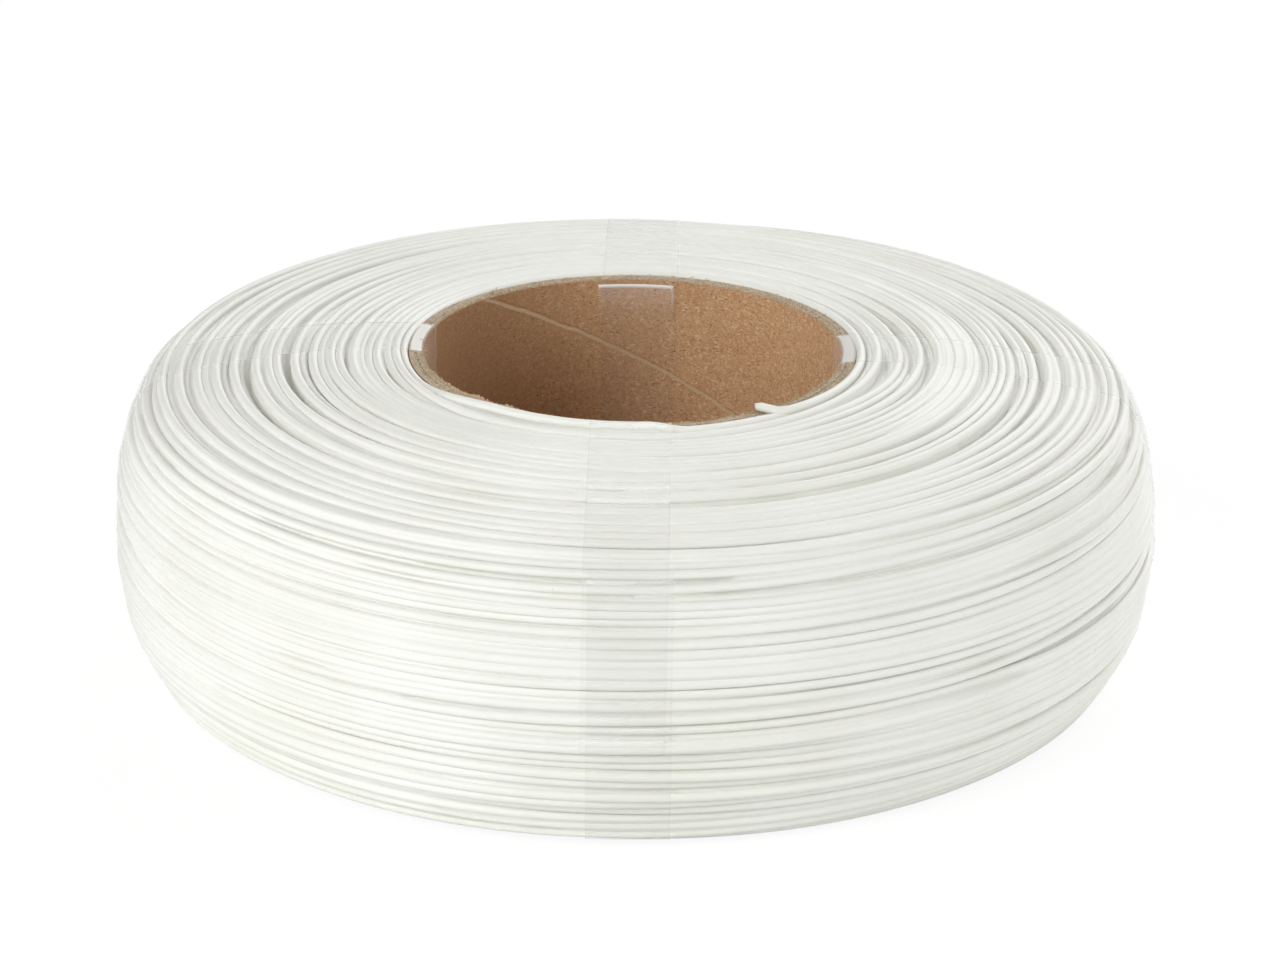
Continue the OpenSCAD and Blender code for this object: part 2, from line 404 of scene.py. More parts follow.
@dataclass(frozen=True)
class StrandFinish:
    """Satin white plastic with a breath of tone and a few stray specks."""

    white: str = "f3f3ee"
    cream: str = "eeeee7"
    speck: str = "8c8a84"
    roughness: float = 0.42
    ior: float = 1.45
    specular: float = 0.45
    # Length over which the white drifts towards cream
    tone_size: float = 26.0
    tone_octaves: float = 3.0
    tone_span: tuple[float, float] = (0.3, 0.7)
    # Spacing of the places where a speck may lie, its edge as a share of that, and how few have one
    speck_size: float = 2.2
    speck_edge: tuple[float, float] = (0.025, 0.045)
    speck_rarity: tuple[float, float] = (0.992, 0.995)
    # What the die leaves
    grain: Grain = Grain(0.35, 0.01, 0.35)

    def make(self) -> Material:
        """Build the material.

        Returns:
            The material.
        """
        s = ShaderTree("white_satin_strand")
        drift = s.out("TexNoise", {"Scale": scale(self.tone_size), "Detail": self.tone_octaves,
                                   "Vector": s.place}, "Fac")
        low, high = self.tone_span
        tone = s.out("MapRange", {**SMOOTH, 0: drift, 1: low, 2: high})
        body = s.out("Mix", {**COLOURS, 0: tone, 6: linear(self.white), 7: linear(self.cream)}, 2)
        cells = s.add("TexVoronoi", {"Scale": scale(self.speck_size), "Vector": s.place}).outputs
        low, high = self.speck_edge
        near = s.out("MapRange", {**SMOOTH, 0: cells["Distance"], 1: low, 2: high, 3: 1.0, 4: 0.0})
        low, high = self.speck_rarity
        draw = s.out("SeparateColor", {0: cells["Color"]})
        rare = s.out("MapRange", {**SMOOTH, 0: draw, 1: low, 2: high})
        dust = s.out("Math", {**TIMES, 0: near, 1: rare})
        colour = s.out("Mix", {**COLOURS, 0: dust, 6: body, 7: linear(self.speck)}, 2)
        return s.dress({"Base Color": colour, "Roughness": self.roughness, "IOR": self.ior,
                        "Specular IOR Level": self.specular, "Normal": self.grain.lay(s)})


@dataclass(frozen=True)
class Flakes:
    """One kind of loose fibre: its size in fibres, how ragged and rare it is, and how strongly it shows."""

    scale: float
    warp: float
    span: tuple[float, float]
    share: float
    # Shift of the pattern in metres, so that two kinds don't lie on each other
    aside: tuple[float, float, float] = (0.0, 0.0, 0.0)


@dataclass(frozen=True)
class Seam:
    """The helical butt seam of the rolled liner: a pale gap with a soft dark edge on either side."""

    # Climb in millimetres for each degree, and the azimuth at which the seam leaves the lower rim
    slope: float = 0.347
    foot: float = 56.0
    half: float = 0.42
    tone: str = "cdb594"
    edge: str = "8d6c4e"
    # Reach of the gap's blur and the place of its dark edge, in half widths
    blur: tuple[float, float] = (0.5, 1.3)
    edge_at: float = 1.35
    edge_blur: tuple[float, float] = (0.08, 0.3)
    tone_share: float = 0.7
    edge_share: float = 0.25
    # How far the slit edge wanders, and over what length
    wander: float = 1.1
    wander_size: float = 4.0
    wander_octaves: float = 3.0
    depth: float = 1.5

    def lay(self, s: ShaderTree, colour: NodeSocket,
            height: NodeSocket) -> tuple[NodeSocket, NodeSocket]:
        """Lay the seam into the colour and the relief.

        Args:
            s: the material under work.
            colour: colour without the seam.
            height: relief without the seam.

        Returns:
            Colour and relief with the seam.
        """
        axes = s.add("SeparateXYZ", {0: s.place}).outputs
        front = s.out("Math", {**TIMES, 0: axes[1], 1: -1.0})
        turn = s.out("Math", {"operation": "ARCTAN2", 0: axes[0], 1: front})
        degrees = s.out("Math", {**TIMES, 0: turn, 1: math.degrees(1.0)})
        past = s.out("Math", {**PLUS, 0: degrees, 1: 2 * FULL_TURN - self.foot})
        past = s.out("Math", {"operation": "MODULO", 0: past, 1: FULL_TURN})
        rise = s.out("Math", {**TIMES, 0: past, 1: self.slope})
        drift = s.out("TexNoise", {"Scale": scale(self.wander_size), "Detail": self.wander_octaves,
                                   "Vector": s.place}, "Fac")
        drift = s.out("Math", {**MINUS, 0: drift, 1: 0.5})
        wave = s.out("Math", {**TIMES, 0: drift, 1: self.wander})
        level = s.out("Math", {**TIMES, 0: axes[2], 1: 1.0 / MM})
        above = s.out("Math", {**MINUS, 0: level, 1: rise})
        across = s.out("Math", {**PLUS, 0: above, 1: wave})
        near, far = (self.half * reach for reach in self.blur)
        away = s.out("Math", {**SIZE, 0: across})
        band = s.out("MapRange", {**SMOOTH, 0: away, 1: near, 2: far, 3: self.tone_share, 4: 0.0})
        away = s.out("Math", {**SIZE, 0: s.out("Math", {**MINUS, 0: across, 1: self.half * self.edge_at})})
        near, far = self.edge_blur
        shade = s.out("MapRange", {**SMOOTH, 0: away, 1: near, 2: far, 3: self.edge_share, 4: 0.0})
        seamed = s.out("Mix", {**COLOURS, 0: band, 6: colour, 7: linear(self.tone)}, 2)
        seamed = s.out("Mix", {**COLOURS, 0: shade, 6: seamed, 7: linear(self.edge)}, 2)
        both = s.out("Math", {**PLUS, 0: band, 1: shade})
        sunk = s.out("Math", {**TIMES, 0: both, 1: self.depth})
        return seamed, s.out("Math", {**MINUS, 0: height, 1: sunk})


@dataclass(frozen=True)
class PaperFinish:
    """Raw recycled paper: fibres of many tones lying every way, a felted surface and no gloss."""

    kind: Paper
    base: str
    light: str
    dark: str
    fleck: str
    roughness: float = 0.92
    specular: float = 0.2
    # Size of a fibre, drawn as coarse as it needs to show, and the tangle's raggedness
    fibre: float = 0.55
    fibre_octaves: float = 4.0
    fibre_rough: float = 0.65
    fibre_warp: float = 1.4
    fibre_span: tuple[float, float] = (0.35, 0.65)
    # Loose fibres lie flat, so they are longer round the core than up it
    lie: tuple[float, float, float] = (1.0, 1.0, 1.9)
    pale_flakes: Flakes = Flakes(1.05, 0.5, (0.605, 0.635), 0.5)
    dark_flakes: Flakes = Flakes(0.8, 0.3, (0.63, 0.66), 0.7, (0.31, 0.17, 0.23))
    # Clouds where the pulp is thicker
    cloud: float = 9.0
    cloud_span: tuple[float, float] = (0.3, 0.7)
    cloud_most: float = 0.22
    relief: float = 0.06
    # Painted shade: the liner darkens towards the left, where the bore lies in shadow, from one x to another
    # in millimetres
    painted_shade_tone: str = "8f6a49"
    painted_shade_most: float = 0.0
    painted_shade_from: float = 12.0
    painted_shade_to: float = -40.0
    seam: Seam | None = None

    def flakes(self, s: ShaderTree, kind: Flakes, flat: NodeSocket) -> NodeSocket:
        """Scatter one kind of loose fibre.

        Args:
            s: the material under work.
            kind: the loose fibre.
            flat: coordinates in which fibres lie flat.

        Returns:
            The share of that fibre's colour.
        """
        place, (low, high) = flat, kind.span
        if any(kind.aside):
            place = s.out("VectorMath", {**PLUS, 0: flat, 1: kind.aside})
        spots = s.out("TexNoise", {"Scale": scale(self.fibre * kind.scale), "Distortion": kind.warp,
                                   "Vector": place}, "Fac")
        cover = s.out("MapRange", {**SMOOTH, 0: spots, 1: low, 2: high})
        return s.out("Math", {**TIMES, 0: cover, 1: kind.share})

    def make(self) -> Material:
        """Build the material.

        Returns:
            The material.
        """
        s = ShaderTree(f"paper_{self.kind.value}")
        height = s.out("TexNoise", {"Scale": scale(self.fibre), "Detail": self.fibre_octaves,
                                    "Roughness": self.fibre_rough, "Distortion": self.fibre_warp,
                                    "Vector": s.place}, "Fac")
        low, high = self.fibre_span
        tangle = s.out("MapRange", {**SMOOTH, 0: height, 1: low, 2: high})
        colour = s.out("Mix", {**COLOURS, 0: tangle, 6: linear(self.dark), 7: linear(self.base)}, 2)
        flat = s.out("VectorMath", {**TIMES, 0: s.place, 1: self.lie})
        for flakes, tone in ((self.pale_flakes, self.light), (self.dark_flakes, self.fleck)):
            share = self.flakes(s, flakes, flat)
            colour = s.out("Mix", {**COLOURS, 0: share, 6: colour, 7: linear(tone)}, 2)
        cloud = s.out("TexNoise", {"Scale": scale(self.cloud), "Vector": s.place}, "Fac")
        low, high = self.cloud_span
        cloud = s.out("MapRange", {**SMOOTH, 0: cloud, 1: low, 2: high, 4: self.cloud_most})
        colour = s.out("Mix", {**COLOURS, 0: cloud, 6: colour, 7: linear(self.dark)}, 2)
        # Painted shade: darken the liner towards the left, where the bore lies in shadow
        if self.painted_shade_most:
            x = s.out("SeparateXYZ", {0: s.place})
            share = s.out("MapRange", {**SMOOTH, 0: x, 1: self.painted_shade_to * MM, 2: self.painted_shade_from * MM,
                                       3: self.painted_shade_most, 4: 0.0})
            colour = s.out("Mix", {**COLOURS, 0: share, 6: colour, 7: linear(self.painted_shade_tone)}, 2)
        if self.seam:
            colour, height = self.seam.lay(s, colour, height)
        normal = s.out("Bump", {"Distance": self.relief * MM, "Height": height})
        return s.dress({"Base Color": colour, "Roughness": self.roughness,
                        "Specular IOR Level": self.specular, "Normal": normal})


@dataclass(frozen=True)
class TapeFinish:
    """Clear polypropylene tape: all but unseen where it sticks, milky where it spans a gap, softly glossy."""

    film: str = "f7f8f8"
    tint: float = 0.98
    haze: float = 0.01
    # How much of the film shows where it is seen at a slant, and how fast that grows
    gloss: float = 0.33
    slant_power: float = 4.0
    # How much of it shows where it is off the strands and where the lift carries painted highlights and
    # sheen, and how fast that grows with the lift
    unstuck: float = 0.36
    unstuck_power: float = 1.6
    roughness: float = 0.28
    ior: float = 1.5
    # Waves of the film
    cockle: Grain = Grain(3.0, 0.05, 0.5)

    def make(self) -> Material:
        """Build the film's material.

        Returns:
            The material.
        """
        s = ShaderTree("clear_tape_film")
        s.dress({"Base Color": linear(self.film), "Roughness": self.roughness, "IOR": self.ior,
                 "Normal": self.cockle.lay(s)})
        lift = s.out("Attribute", {"attribute_name": "lift"}, "Fac")
        facing = s.out("LayerWeight", {}, "Facing")
        front = s.out("Math", {**MINUS, 0: 1.0, 1: s.out("NewGeometry", {}, "Backfacing")})
        slant = s.out("Math", {"operation": "POWER", 0: facing, 1: self.slant_power})
        slant = s.out("Math", {**TIMES, 0: slant, 1: front})
        glossy = s.out("Math", {**TIMES, 0: slant, 1: self.gloss})
        milky = s.out("Math", {"operation": "POWER", 0: lift, 1: self.unstuck_power})
        milky = s.out("Math", {**TIMES, 0: milky, 1: self.unstuck})
        seen = s.out("Math", {**PLUS, 0: glossy, 1: milky})
        seen = s.out("Math", {**PLUS, 0: seen, 1: self.haze})
        # The film casts no shadow on the strands under it
        lit = s.out("Math", {**MINUS, 0: 1.0, 1: s.out("LightPath", {}, "Is Shadow Ray")})
        seen = s.out("Math", {**TIMES, 0: seen, 1: lit})
        clear = s.out("BsdfTransparent", {"Color": (self.tint, self.tint, self.tint, 1.0)})
        both = s.out("MixShader", {0: seen, 1: clear, 2: s.shader.outputs[0]})
        put(s.tree, s.output, {"Surface": both})
        return s.material


@dataclass(frozen=True)
class TapeEdgeHighlightFinish:
    """The cut edge of the tape, a painted highlight: a near-white, partly opaque finish that stands for the
    light the edge gathers, so that it reads as a thin pale line.
    """

    # Painted highlight: the near-white tone and the opacity stand for the light that the cut edge gathers
    tone: str = "fafbfb"
    alpha: float = 0.35
    roughness: float = 0.3
    ior: float = 1.5
    # What the blade leaves
    nicks: Grain = Grain(0.8, 0.02, 0.4)

    def make(self) -> Material:
        """Build the edge's material."""
        s = ShaderTree("clear_tape_edge_painted_highlight")
        return s.dress({"Base Color": linear(self.tone), "Roughness": self.roughness, "Alpha": self.alpha,
                        "IOR": self.ior, "Normal": self.nicks.lay(s)})


PAPERS = {finish.kind: finish for finish in (
    # The inner liner carries painted shade towards the left, where the bore lies in shadow
    PaperFinish(Paper.INNER_LINER, "d3ad87", "efd8b7", "b68d67", "5c3d2a", fibre=0.7, painted_shade_most=0.7,
                seam=Seam()),
    PaperFinish(Paper.OUTER_LINER, "b08a66", "c9ab88", "8d6c50", "5d4634"),
    PaperFinish(Paper.PALE_PLY, "b3a590", "cdc3b2", "8f8474", "5f594f", relief=0.16, fibre=0.4),
    PaperFinish(Paper.DARK_PLY, "9c8f7d", "bdb2a0", "786d60", "4c463e", relief=0.16, fibre=0.4),
    PaperFinish(Paper.SAWN_EDGE, "dac9b1", "f6efe3", "ad9a82", "6f5a48", relief=0.1, fibre=0.36),
    PaperFinish(Paper.TORN_FIBRE, "cdb899", "dccdb4", "b19a7c", "8e7a62", relief=0.02),
)}


# ---------------------------------------------------------------- the wound coil


@dataclass
class CoilForm:
    """The form that the winding keeps: a crowned disc with a barrel wall that is fullest below its middle."""

    strand_d: float = 1.75
    outer_r: float = 100.0
    inner_r: float = 42.87
    base_z: float = 0.1
    top_z: float = 59.9
    crown_drop: float = 5.5
    under_rise: float = 1.2
    under_rise_w: float = 13.0
    widest_z: float = 26.0
    draw_in: float = 7.0
    bulge_power: float = 2.6
    # Fall of the outermost layers' edges, the width over which they fall, and the rounding there
    shoulder: float = 1.3
    shoulder_w: float = 3.6
    turn_in: float = 2.2
    # Where the outline leaves the core, and its points along the crown, wall, underside and edges
    off_core: float = 0.9
    crown_points: int = 60
    wall_points: int = 50
    base_points: int = 40
    edge_points: int = 9

    @property
    def strand_r(self) -> float:
        """Radius of the strand."""
        return self.strand_d / 2

    @property
    def edge_r(self) -> float:
        """Radius of the upper and lower edges of the wall."""
        return self.outer_r - self.draw_in

    @property
    def edge_top(self) -> float:
        """Height of the upper edge of the wall."""
        return self.top_z - self.crown_drop

    @property
    def edge_bottom(self) -> float:
        """Height of the lower edge of the wall."""
        return self.base_z + self.under_rise

    def limits(self, radius: float) -> tuple[float, float]:
        """Find how low and how high a layer reaches.

        Args:
            radius: the layer's radius on the straight-sided coil.

        Returns:
            Height of its lowest and its highest strand centre.
        """
        share = (radius - self.inner_r) / (self.outer_r - self.inner_r)
        spread = self.under_rise_w * (self.outer_r - self.inner_r) / (self.edge_r - self.inner_r)
        under = min(max((radius - self.outer_r + spread) / spread, 0.0), 1.0)
        brow = min(max((radius - self.outer_r + self.shoulder_w) / self.shoulder_w, 0.0), 1.0) ** 2
        low = self.base_z + self.under_rise * under ** 2 + self.shoulder * brow + self.strand_r
        high = self.top_z - self.crown_drop * share ** 2 - self.shoulder * brow - self.strand_r
        return low, high

    def wall_r(self, height: Array) -> Array:
        """Find the radius of the wall.

        Args:
            height: heights on the wall.

        Returns:
            The wall's radius at each height.
        """
        up = (height - self.widest_z) / (self.edge_top - self.widest_z)
        down = (self.widest_z - height) / (self.widest_z - self.edge_bottom)
        share = np.clip(np.where(height > self.widest_z, up, down), 0.0, 1.0)
        return self.outer_r - self.draw_in * share ** self.bulge_power

    def section(self) -> Array:
        """Outline the coil from the bore's rim over the crown, the wall and the underside back to the bore.

        Returns:
            Radius and height of each point of the outline.
        """
        start, stop = self.inner_r + self.off_core, self.edge_r - self.turn_in
        crown = np.linspace(start, stop, self.crown_points)
        share = (crown - self.inner_r) / (self.edge_r - self.inner_r)
        wall = np.linspace(self.edge_top - self.turn_in, self.edge_bottom + self.turn_in, self.wall_points)
        base = np.linspace(stop, start, self.base_points)
        spread = np.maximum(0.0, base - (self.edge_r - self.under_rise_w)) / self.under_rise_w
        top = np.stack([crown, self.top_z - self.crown_drop * share ** 2], axis=1)
        side = np.stack([self.wall_r(wall), wall], axis=1)
        under = np.stack([base, self.base_z + self.under_rise * spread ** 2], axis=1)
        upper = self.round_off(top[-1], np.array([self.edge_r, self.edge_top]), side[0])
        lower = self.round_off(side[-1], np.array([self.edge_r, self.edge_bottom]), under[0])
        return np.vstack([top, upper, side, lower, under])

    def round_off(self, start: Array, corner: Array, stop: Array) -> Array:
        """Round a corner with a quadratic curve.

        Args:
            start: point before the corner.
            corner: the corner, which the curve doesn't touch.
            stop: point past the corner.

        Returns:
            The points between the start and the stop.
        """
        t = np.linspace(0, 1, self.edge_points)[1:-1, None]
        return (1 - t) ** 2 * start + 2 * t * (1 - t) * corner + t * t * stop

    def barrel(self, radius: Array, height: Array) -> Array:
        """Draw a straight-sided coil in to the barrel form.

        Args:
            radius: radii on the straight-sided coil.
            height: heights of the same points.

        Returns:
            The radii on the barrel.
        """
        share = (self.wall_r(height) - self.inner_r) / (self.outer_r - self.inner_r)
        return self.inner_r + (radius - self.inner_r) * share


class Bending:
    """Eases a stretch of strand that bends stiffly and goes on from the points that are already laid."""

    # Points of the laid strand that hold the new stretch
    HELD = 3

    def __init__(self, span: int, stiffness: float) -> None:
        """Work out the matrices for a stretch.

        Args:
            span: number of points in the stretch.
            stiffness: stiffness against the pull of one point.
        """
        second = np.zeros((span + 1, span + self.HELD))
        for i in range(span + 1):
            second[i, i:i + 3] = (1.0, -2.0, 1.0)
        energy = second.T @ second
        self.free = np.linalg.inv(np.eye(span) + stiffness * energy[self.HELD:, self.HELD:])
        self.held = -stiffness * self.free @ energy[self.HELD:, :self.HELD]

    def ease(self, wanted: Array, last: Array) -> Array:
        """Bend the strand smoothly.

        Args:
            wanted: where each point of the stretch would lie if the strand were limp.
            last: the last laid points.

        Returns:
            Where each point lies.
        """
        return self.free @ wanted + self.held @ last


@dataclass
class Crust:
    """How far out one more strand would rest, for each column round the core and each cell of height."""

    columns: int
    start: float
    cell: float = 0.1
    room: float = 64.0
    # Cells on either side that the wider slope takes in, cells kept free at both ends, and the steepest slope
    slope_reach: int = 4
    margin: int = 6
    steepest: float = 1.0
    out: Array = field(default=None, repr=False)

    def __post_init__(self) -> None:
        """Start with the bare core."""
        self.out = np.full((self.columns, self.cells), self.start)

    @property
    def cells(self) -> int:
        """Number of cells in a column."""
        return int(self.room / self.cell)

    def slope(self, cols: Array, z: Array) -> Array:
        """Find how steeply the crust rises under a strand, both right under it and around it.

        Args:
            cols: column of each point.
            z: height of each point.

        Returns:
            Rise outwards for each step up.
        """
        i = np.clip((z / self.cell).astype(int), self.margin, self.cells - self.margin - 2)
        near = (self.out[cols, i + 1] - self.out[cols, i]) / self.cell
        reach = self.slope_reach
        wide = (self.out[cols, i + reach + 1] - self.out[cols, i - reach]) / ((2 * reach + 1) * self.cell)
        return np.clip(0.5 * near + 0.5 * wide, -self.steepest, self.steepest)

    def rest(self, cols: Array, z: Array) -> Array:
        """Find where a strand comes to rest.

        Args:
            cols: column of each point.
            z: height of each point.

        Returns:
            Radius of each point.
        """
        i = np.clip((z / self.cell).astype(int), 0, self.cells - 2)
        part = z / self.cell - i
        return self.out[cols, i] * (1 - part) + self.out[cols, i + 1] * part

    def lay(self, cols: Array, z: Array, r: Array, strand_d: float) -> None:
        """Lay a stretch of strand on the crust.

        Args:
            cols: column of each point.
            z: height of each point.
            r: radius of each point.
            strand_d: diameter of the strand.
        """
        reach = int(math.ceil(strand_d / self.cell))
        first = np.round(z / self.cell).astype(int)
        for k in range(-reach, reach + 1):
            at = first + k
            inside = (at >= 0) & (at < self.cells)
            at = np.clip(at, 0, self.cells - 1)
            drop = strand_d * strand_d - (at * self.cell - z) ** 2
            top = np.where(inside & (drop > 0), r + np.sqrt(np.maximum(drop, 0.0)), 0.0)
            self.out[cols, at] = np.maximum(self.out[cols, at], top)


@dataclass
class Winder:
    """Winds one strand round the core, layer on layer, as a winding machine with a traversing guide does."""

    form: CoilForm
    seed: int = 4
    start_azimuth: float = 42.0
    end_azimuth: float = 183.0
    most_turns: int = 1400
    # Points in a turn, stretches in a turn that are laid one by one, and points by which each looks ahead
    columns: int = 180
    parts: int = 6
    look: int = 24
    # The traversing guide: its travel in a turn in strand diameters, how far it overruns either end, and for
    # how much of a turn it dwells there
    pitch: tuple[float, float] = (0.99, 1.04)
    overrun: tuple[float, float] = (0.0, 0.6)
    dwell: tuple[float, float] = (0.1, 0.6)
    first_dwell: float = 0.35
    # How far beyond the mean radius a layer's height limits are taken
    look_out: float = 0.3
    # How far the guide wanders deep inside and in the outer layers, and how much of it carries on
    wander_inside: float = 0.06
    wander_outside: float = 0.18
    wander_kept: float = 0.9
    outside: float = 7.0
    # How the strand slides into the grooves below it
    stiffness: float = 1200.0
    guide_pull: float = 0.35
    settle: float = 0.15
    settle_steps: int = 40
    # How its tension and its stiffness carry it over them
    taut_steps: int = 60
    bend_length: float = 4.0
    bend_steps: int = 3
    bend_push: float = 0.5
    # Share of a new stretch in the layer's mean radius, and how far the last layer may stay short
    mean_gain: float = 0.2
    layer_slack: float = 1.6
    # Broad swells, which the taut outer layers even out: their size up and round the coil in millimetres and
    # degrees, how much of them goes, the cells taken in, and how far from the edges and the full radius
    swell_z: float = 3.0
    swell_turn: float = 35.0
    swell_eased: float = 0.8
    swell_cells: int = 120
    swell_inset: float = 1.5
    swell_short: float = 0.15
    # Strands that would still stand proud are pressed in
    press_from: float = 0.3
    press_room: float = 0.6
    # How far the outer layers sit off the core's axis
    off_right: float = 0.9
    off_front: float = 0.9
    # Azimuths between which the first turn rises to the core's rim, and those between which it slips onto it
    rest_stops: tuple[float, ...] = (350.0, 364.0, 392.0, 412.0)
    rest_z: float = 59.03
    slip_stops: tuple[float, ...] = (294.0, 324.0, 364.0, 374.0)
    slip_r: float = 42.45
    slip_z: float = 59.8
    end: int = 0
    radius: Array = field(default=None, repr=False)
    height: Array = field(default=None, repr=False)

    def guide(self, state: tuple, low: float, high: float, count: int, rng: np.random.Generator,
              keep_at: int) -> tuple[Array, tuple, dict]:
        """Move the traversing guide over a stretch of columns.

        Args:
            state: height, direction, dwell left, pitch factor and overrun.
            low: lowest height of the strand in this layer.
            high: highest height of the strand in this layer.
            count: number of columns.
            rng: the seeded generator.
            keep_at: column after which the state is kept.

        Returns:
            Guide height in each column, the kept state and the kept generator state.
        """
        level, way, hold, factor, over = state
        path = np.empty(count)
        kept, kept_rng = state, rng.bit_generator.state
        for j in range(count):
            if j == keep_at:
                kept, kept_rng = (level, way, hold, factor, over), rng.bit_generator.state
            if hold > 0.0:
                hold -= 1.0 / self.columns
            else:
                level += way * self.form.strand_d * factor / self.columns
                if (way > 0 and level >= high + over) or (way < 0 and level <= low - over):
                    level = high if way > 0 else low
                    way = -way
                    hold = rng.uniform(*self.dwell)
                    factor = rng.uniform(*self.pitch)
                    over = rng.uniform(*self.overrun)
            path[j] = level
        return path, kept, kept_rng

    def slide(self, crust: Crust, cols: Array, path: Array, last: Array,
              limits: tuple[float, float], bending: Bending) -> Array:
        """Let a stretch of strand slide into the grooves below it, held by the guide and its own stiffness.

        Args:
            crust: what is laid already.
            cols: column of each point.
            path: height of the guide at each point.
            last: heights of the last laid points.
            limits: lowest and highest height in this layer.
            bending: the strand's stiffness sideways.

        Returns:
            Height of each point.
        """
        z = np.clip(last[-1] + path - path[0], *limits)
        for _ in range(self.settle_steps):
            z = z - self.settle * (crust.slope(cols, z) + 2 * self.guide_pull * (z - path))
            z = np.clip(bending.ease(z, last), *limits)
        return z

    def tighten(self, rest: Array, last: Array, bending: Bending) -> Array:
        """Draw a stretch of strand taut over what it rests on.

        Args:
            rest: radius at which each point would rest if the strand were limp.
            last: radii of the last laid points.
            bending: the strand's stiffness outwards.

        Returns:
            Radius of each point.
        """
        cosine = math.cos(2 * math.pi / self.columns)
        r = rest.copy()
        for _ in range(self.taut_steps):
            before = np.concatenate([last[-1:], r[:-1]])
            after = np.concatenate([r[1:], r[-1:]])
            r = np.maximum(rest, 0.5 * (before + after) * cosine)
        for _ in range(self.bend_steps):
            r = bending.ease(r, last)
            r = r + self.bend_push * np.maximum(rest - r, 0.0)
        return bending.ease(r, last)

    def wind(self) -> None:
        """Wind the whole coil and keep radius and height of the strand, one row for each turn."""
        form = self.form
        rng = np.random.default_rng(self.seed)
        mean_r = form.inner_r + form.strand_r
        crust = Crust(self.columns, mean_r)
        step = self.columns // self.parts
        span = step + self.look
        sideways = Bending(span, self.stiffness * self.settle)
        outwards = Bending(span, self.bend_length ** 4 / 4)
        top = form.limits(form.inner_r)[1]
        last_z, last_r = np.full(Bending.HELD, top), np.full(Bending.HELD, mean_r)
        state = (top, -1, self.first_dwell, 1.0, 0.0)
        wander, at, full = 0.0, 0, False
        heights, radii = [], []
        while not full and at < self.most_turns * self.columns:
            limits = form.limits(mean_r + self.look_out)
            way = state[1]
            path, state, rng_state = self.guide(state, *limits, span, rng, step)
            full = state[1] != way and mean_r > form.outer_r - form.strand_r - self.layer_slack
            rng.bit_generator.state = rng_state
            noise = self.wander_inside if mean_r < form.outer_r - self.outside else self.wander_outside
            wander = wander * self.wander_kept + rng.normal(0.0, noise)
            path = np.clip(path + wander, *limits)
            cols = (at + np.arange(span)) % self.columns
            z = self.slide(crust, cols, path, last_z, limits, sideways)
            r = self.tighten(crust.rest(cols, z), last_r, outwards)
            z, r = z[:step], r[:step]
            crust.lay(cols[:step], z, r, form.strand_d)
            heights.append(z)
            radii.append(r)
            last_z, last_r = z[-Bending.HELD:], r[-Bending.HELD:]
            mean_r = (1 - self.mean_gain) * mean_r + self.mean_gain * float(r.mean())
            at += step
        self.trim(np.concatenate(radii), np.concatenate(heights))
        self.true_up(crust)
        self.set_off()
        self.slip_turn()
        LOG.info("wound %d turns", len(self.radius))

    def trim(self, radius: Array, height: Array) -> None:
        """End the strand at its chosen azimuth and fold it into rows of one turn.

        Args:
            radius: radius of every point along the strand.
            height: height of every point along the strand.
        """
        turns = len(radius) // self.columns
        last = int((self.end_azimuth - self.start_azimuth) / FULL_TURN * self.columns)
        self.end = (turns - 1) * self.columns + last
        radius, height = radius[:turns * self.columns], height[:turns * self.columns]
        radius[self.end:] = self.form.inner_r + self.form.strand_d
        height[self.end:] = self.form.widest_z
        self.radius = radius.reshape(turns, self.columns)
        self.height = height.reshape(turns, self.columns)

    def swells(self, crust: Crust) -> Array:
        """Find what would bring the coil's broad swells to the barrel's full radius.

        Args:
            crust: what is laid.

        Returns:
            A factor for each column and height cell.
        """
        form, half = self.form, self.swell_cells
        low, high = form.limits(form.outer_r)
        level = np.clip(np.arange(crust.cells) * crust.cell, low + self.swell_inset, high - self.swell_inset)
        inside = crust.out[:, np.clip((level / crust.cell).astype(int), 0, crust.cells - 1)]
        wide = np.exp(-0.5 * (np.arange(-half, half + 1) * crust.cell / self.swell_z) ** 2)
        wide /= wide.sum()
        broad = np.array([np.convolve(np.pad(row, half, mode="edge"), wide, mode="valid") for row in inside])
        turn = np.arange(self.columns) - self.columns // 2
        kernel = np.exp(-0.5 * (turn * FULL_TURN / self.columns / self.swell_turn) ** 2)
        kernel = np.fft.rfft(np.fft.ifftshift(kernel / kernel.sum()))
        broad = np.fft.irfft(np.fft.rfft(broad, axis=0) * kernel[:, None], n=self.columns, axis=0)
        target = form.outer_r + form.strand_r - self.swell_short
        return (target - form.inner_r) / (broad - form.inner_r)

    def true_up(self, crust: Crust) -> None:
        """Ease the coil's broad swells and draw it in to the barrel form.

        Args:
            crust: what is laid.
        """
        form = self.form
        ease = self.swells(crust)
        mean = ease.mean()
        ease = mean + self.swell_eased * (ease - mean)
        cols = np.broadcast_to(np.arange(self.columns), self.radius.shape)
        at = np.clip((self.height / crust.cell).astype(int), 0, crust.cells - 1)
        radius = form.inner_r + (self.radius - form.inner_r) * ease[cols, at]
        over = np.maximum(radius - (form.outer_r - form.strand_r - self.press_from), 0.0)
        radius = radius - over + self.press_room * over / (over + self.press_room)
        inner = form.inner_r + form.strand_r
        radius = np.maximum(radius, inner)
        self.radius = np.maximum(form.barrel(radius, self.height), inner)

    def set_off(self) -> None:
        """Let the outer layers sit a little off the core's axis."""
        form, around = self.form, self.azimuth(np.arange(self.columns))
        share = np.clip((self.radius - form.inner_r) / (form.outer_r - form.inner_r), 0.0, 1.0)
        away = self.off_right * np.sin(around) + self.off_front * np.cos(around)
        self.radius = self.radius + share * away

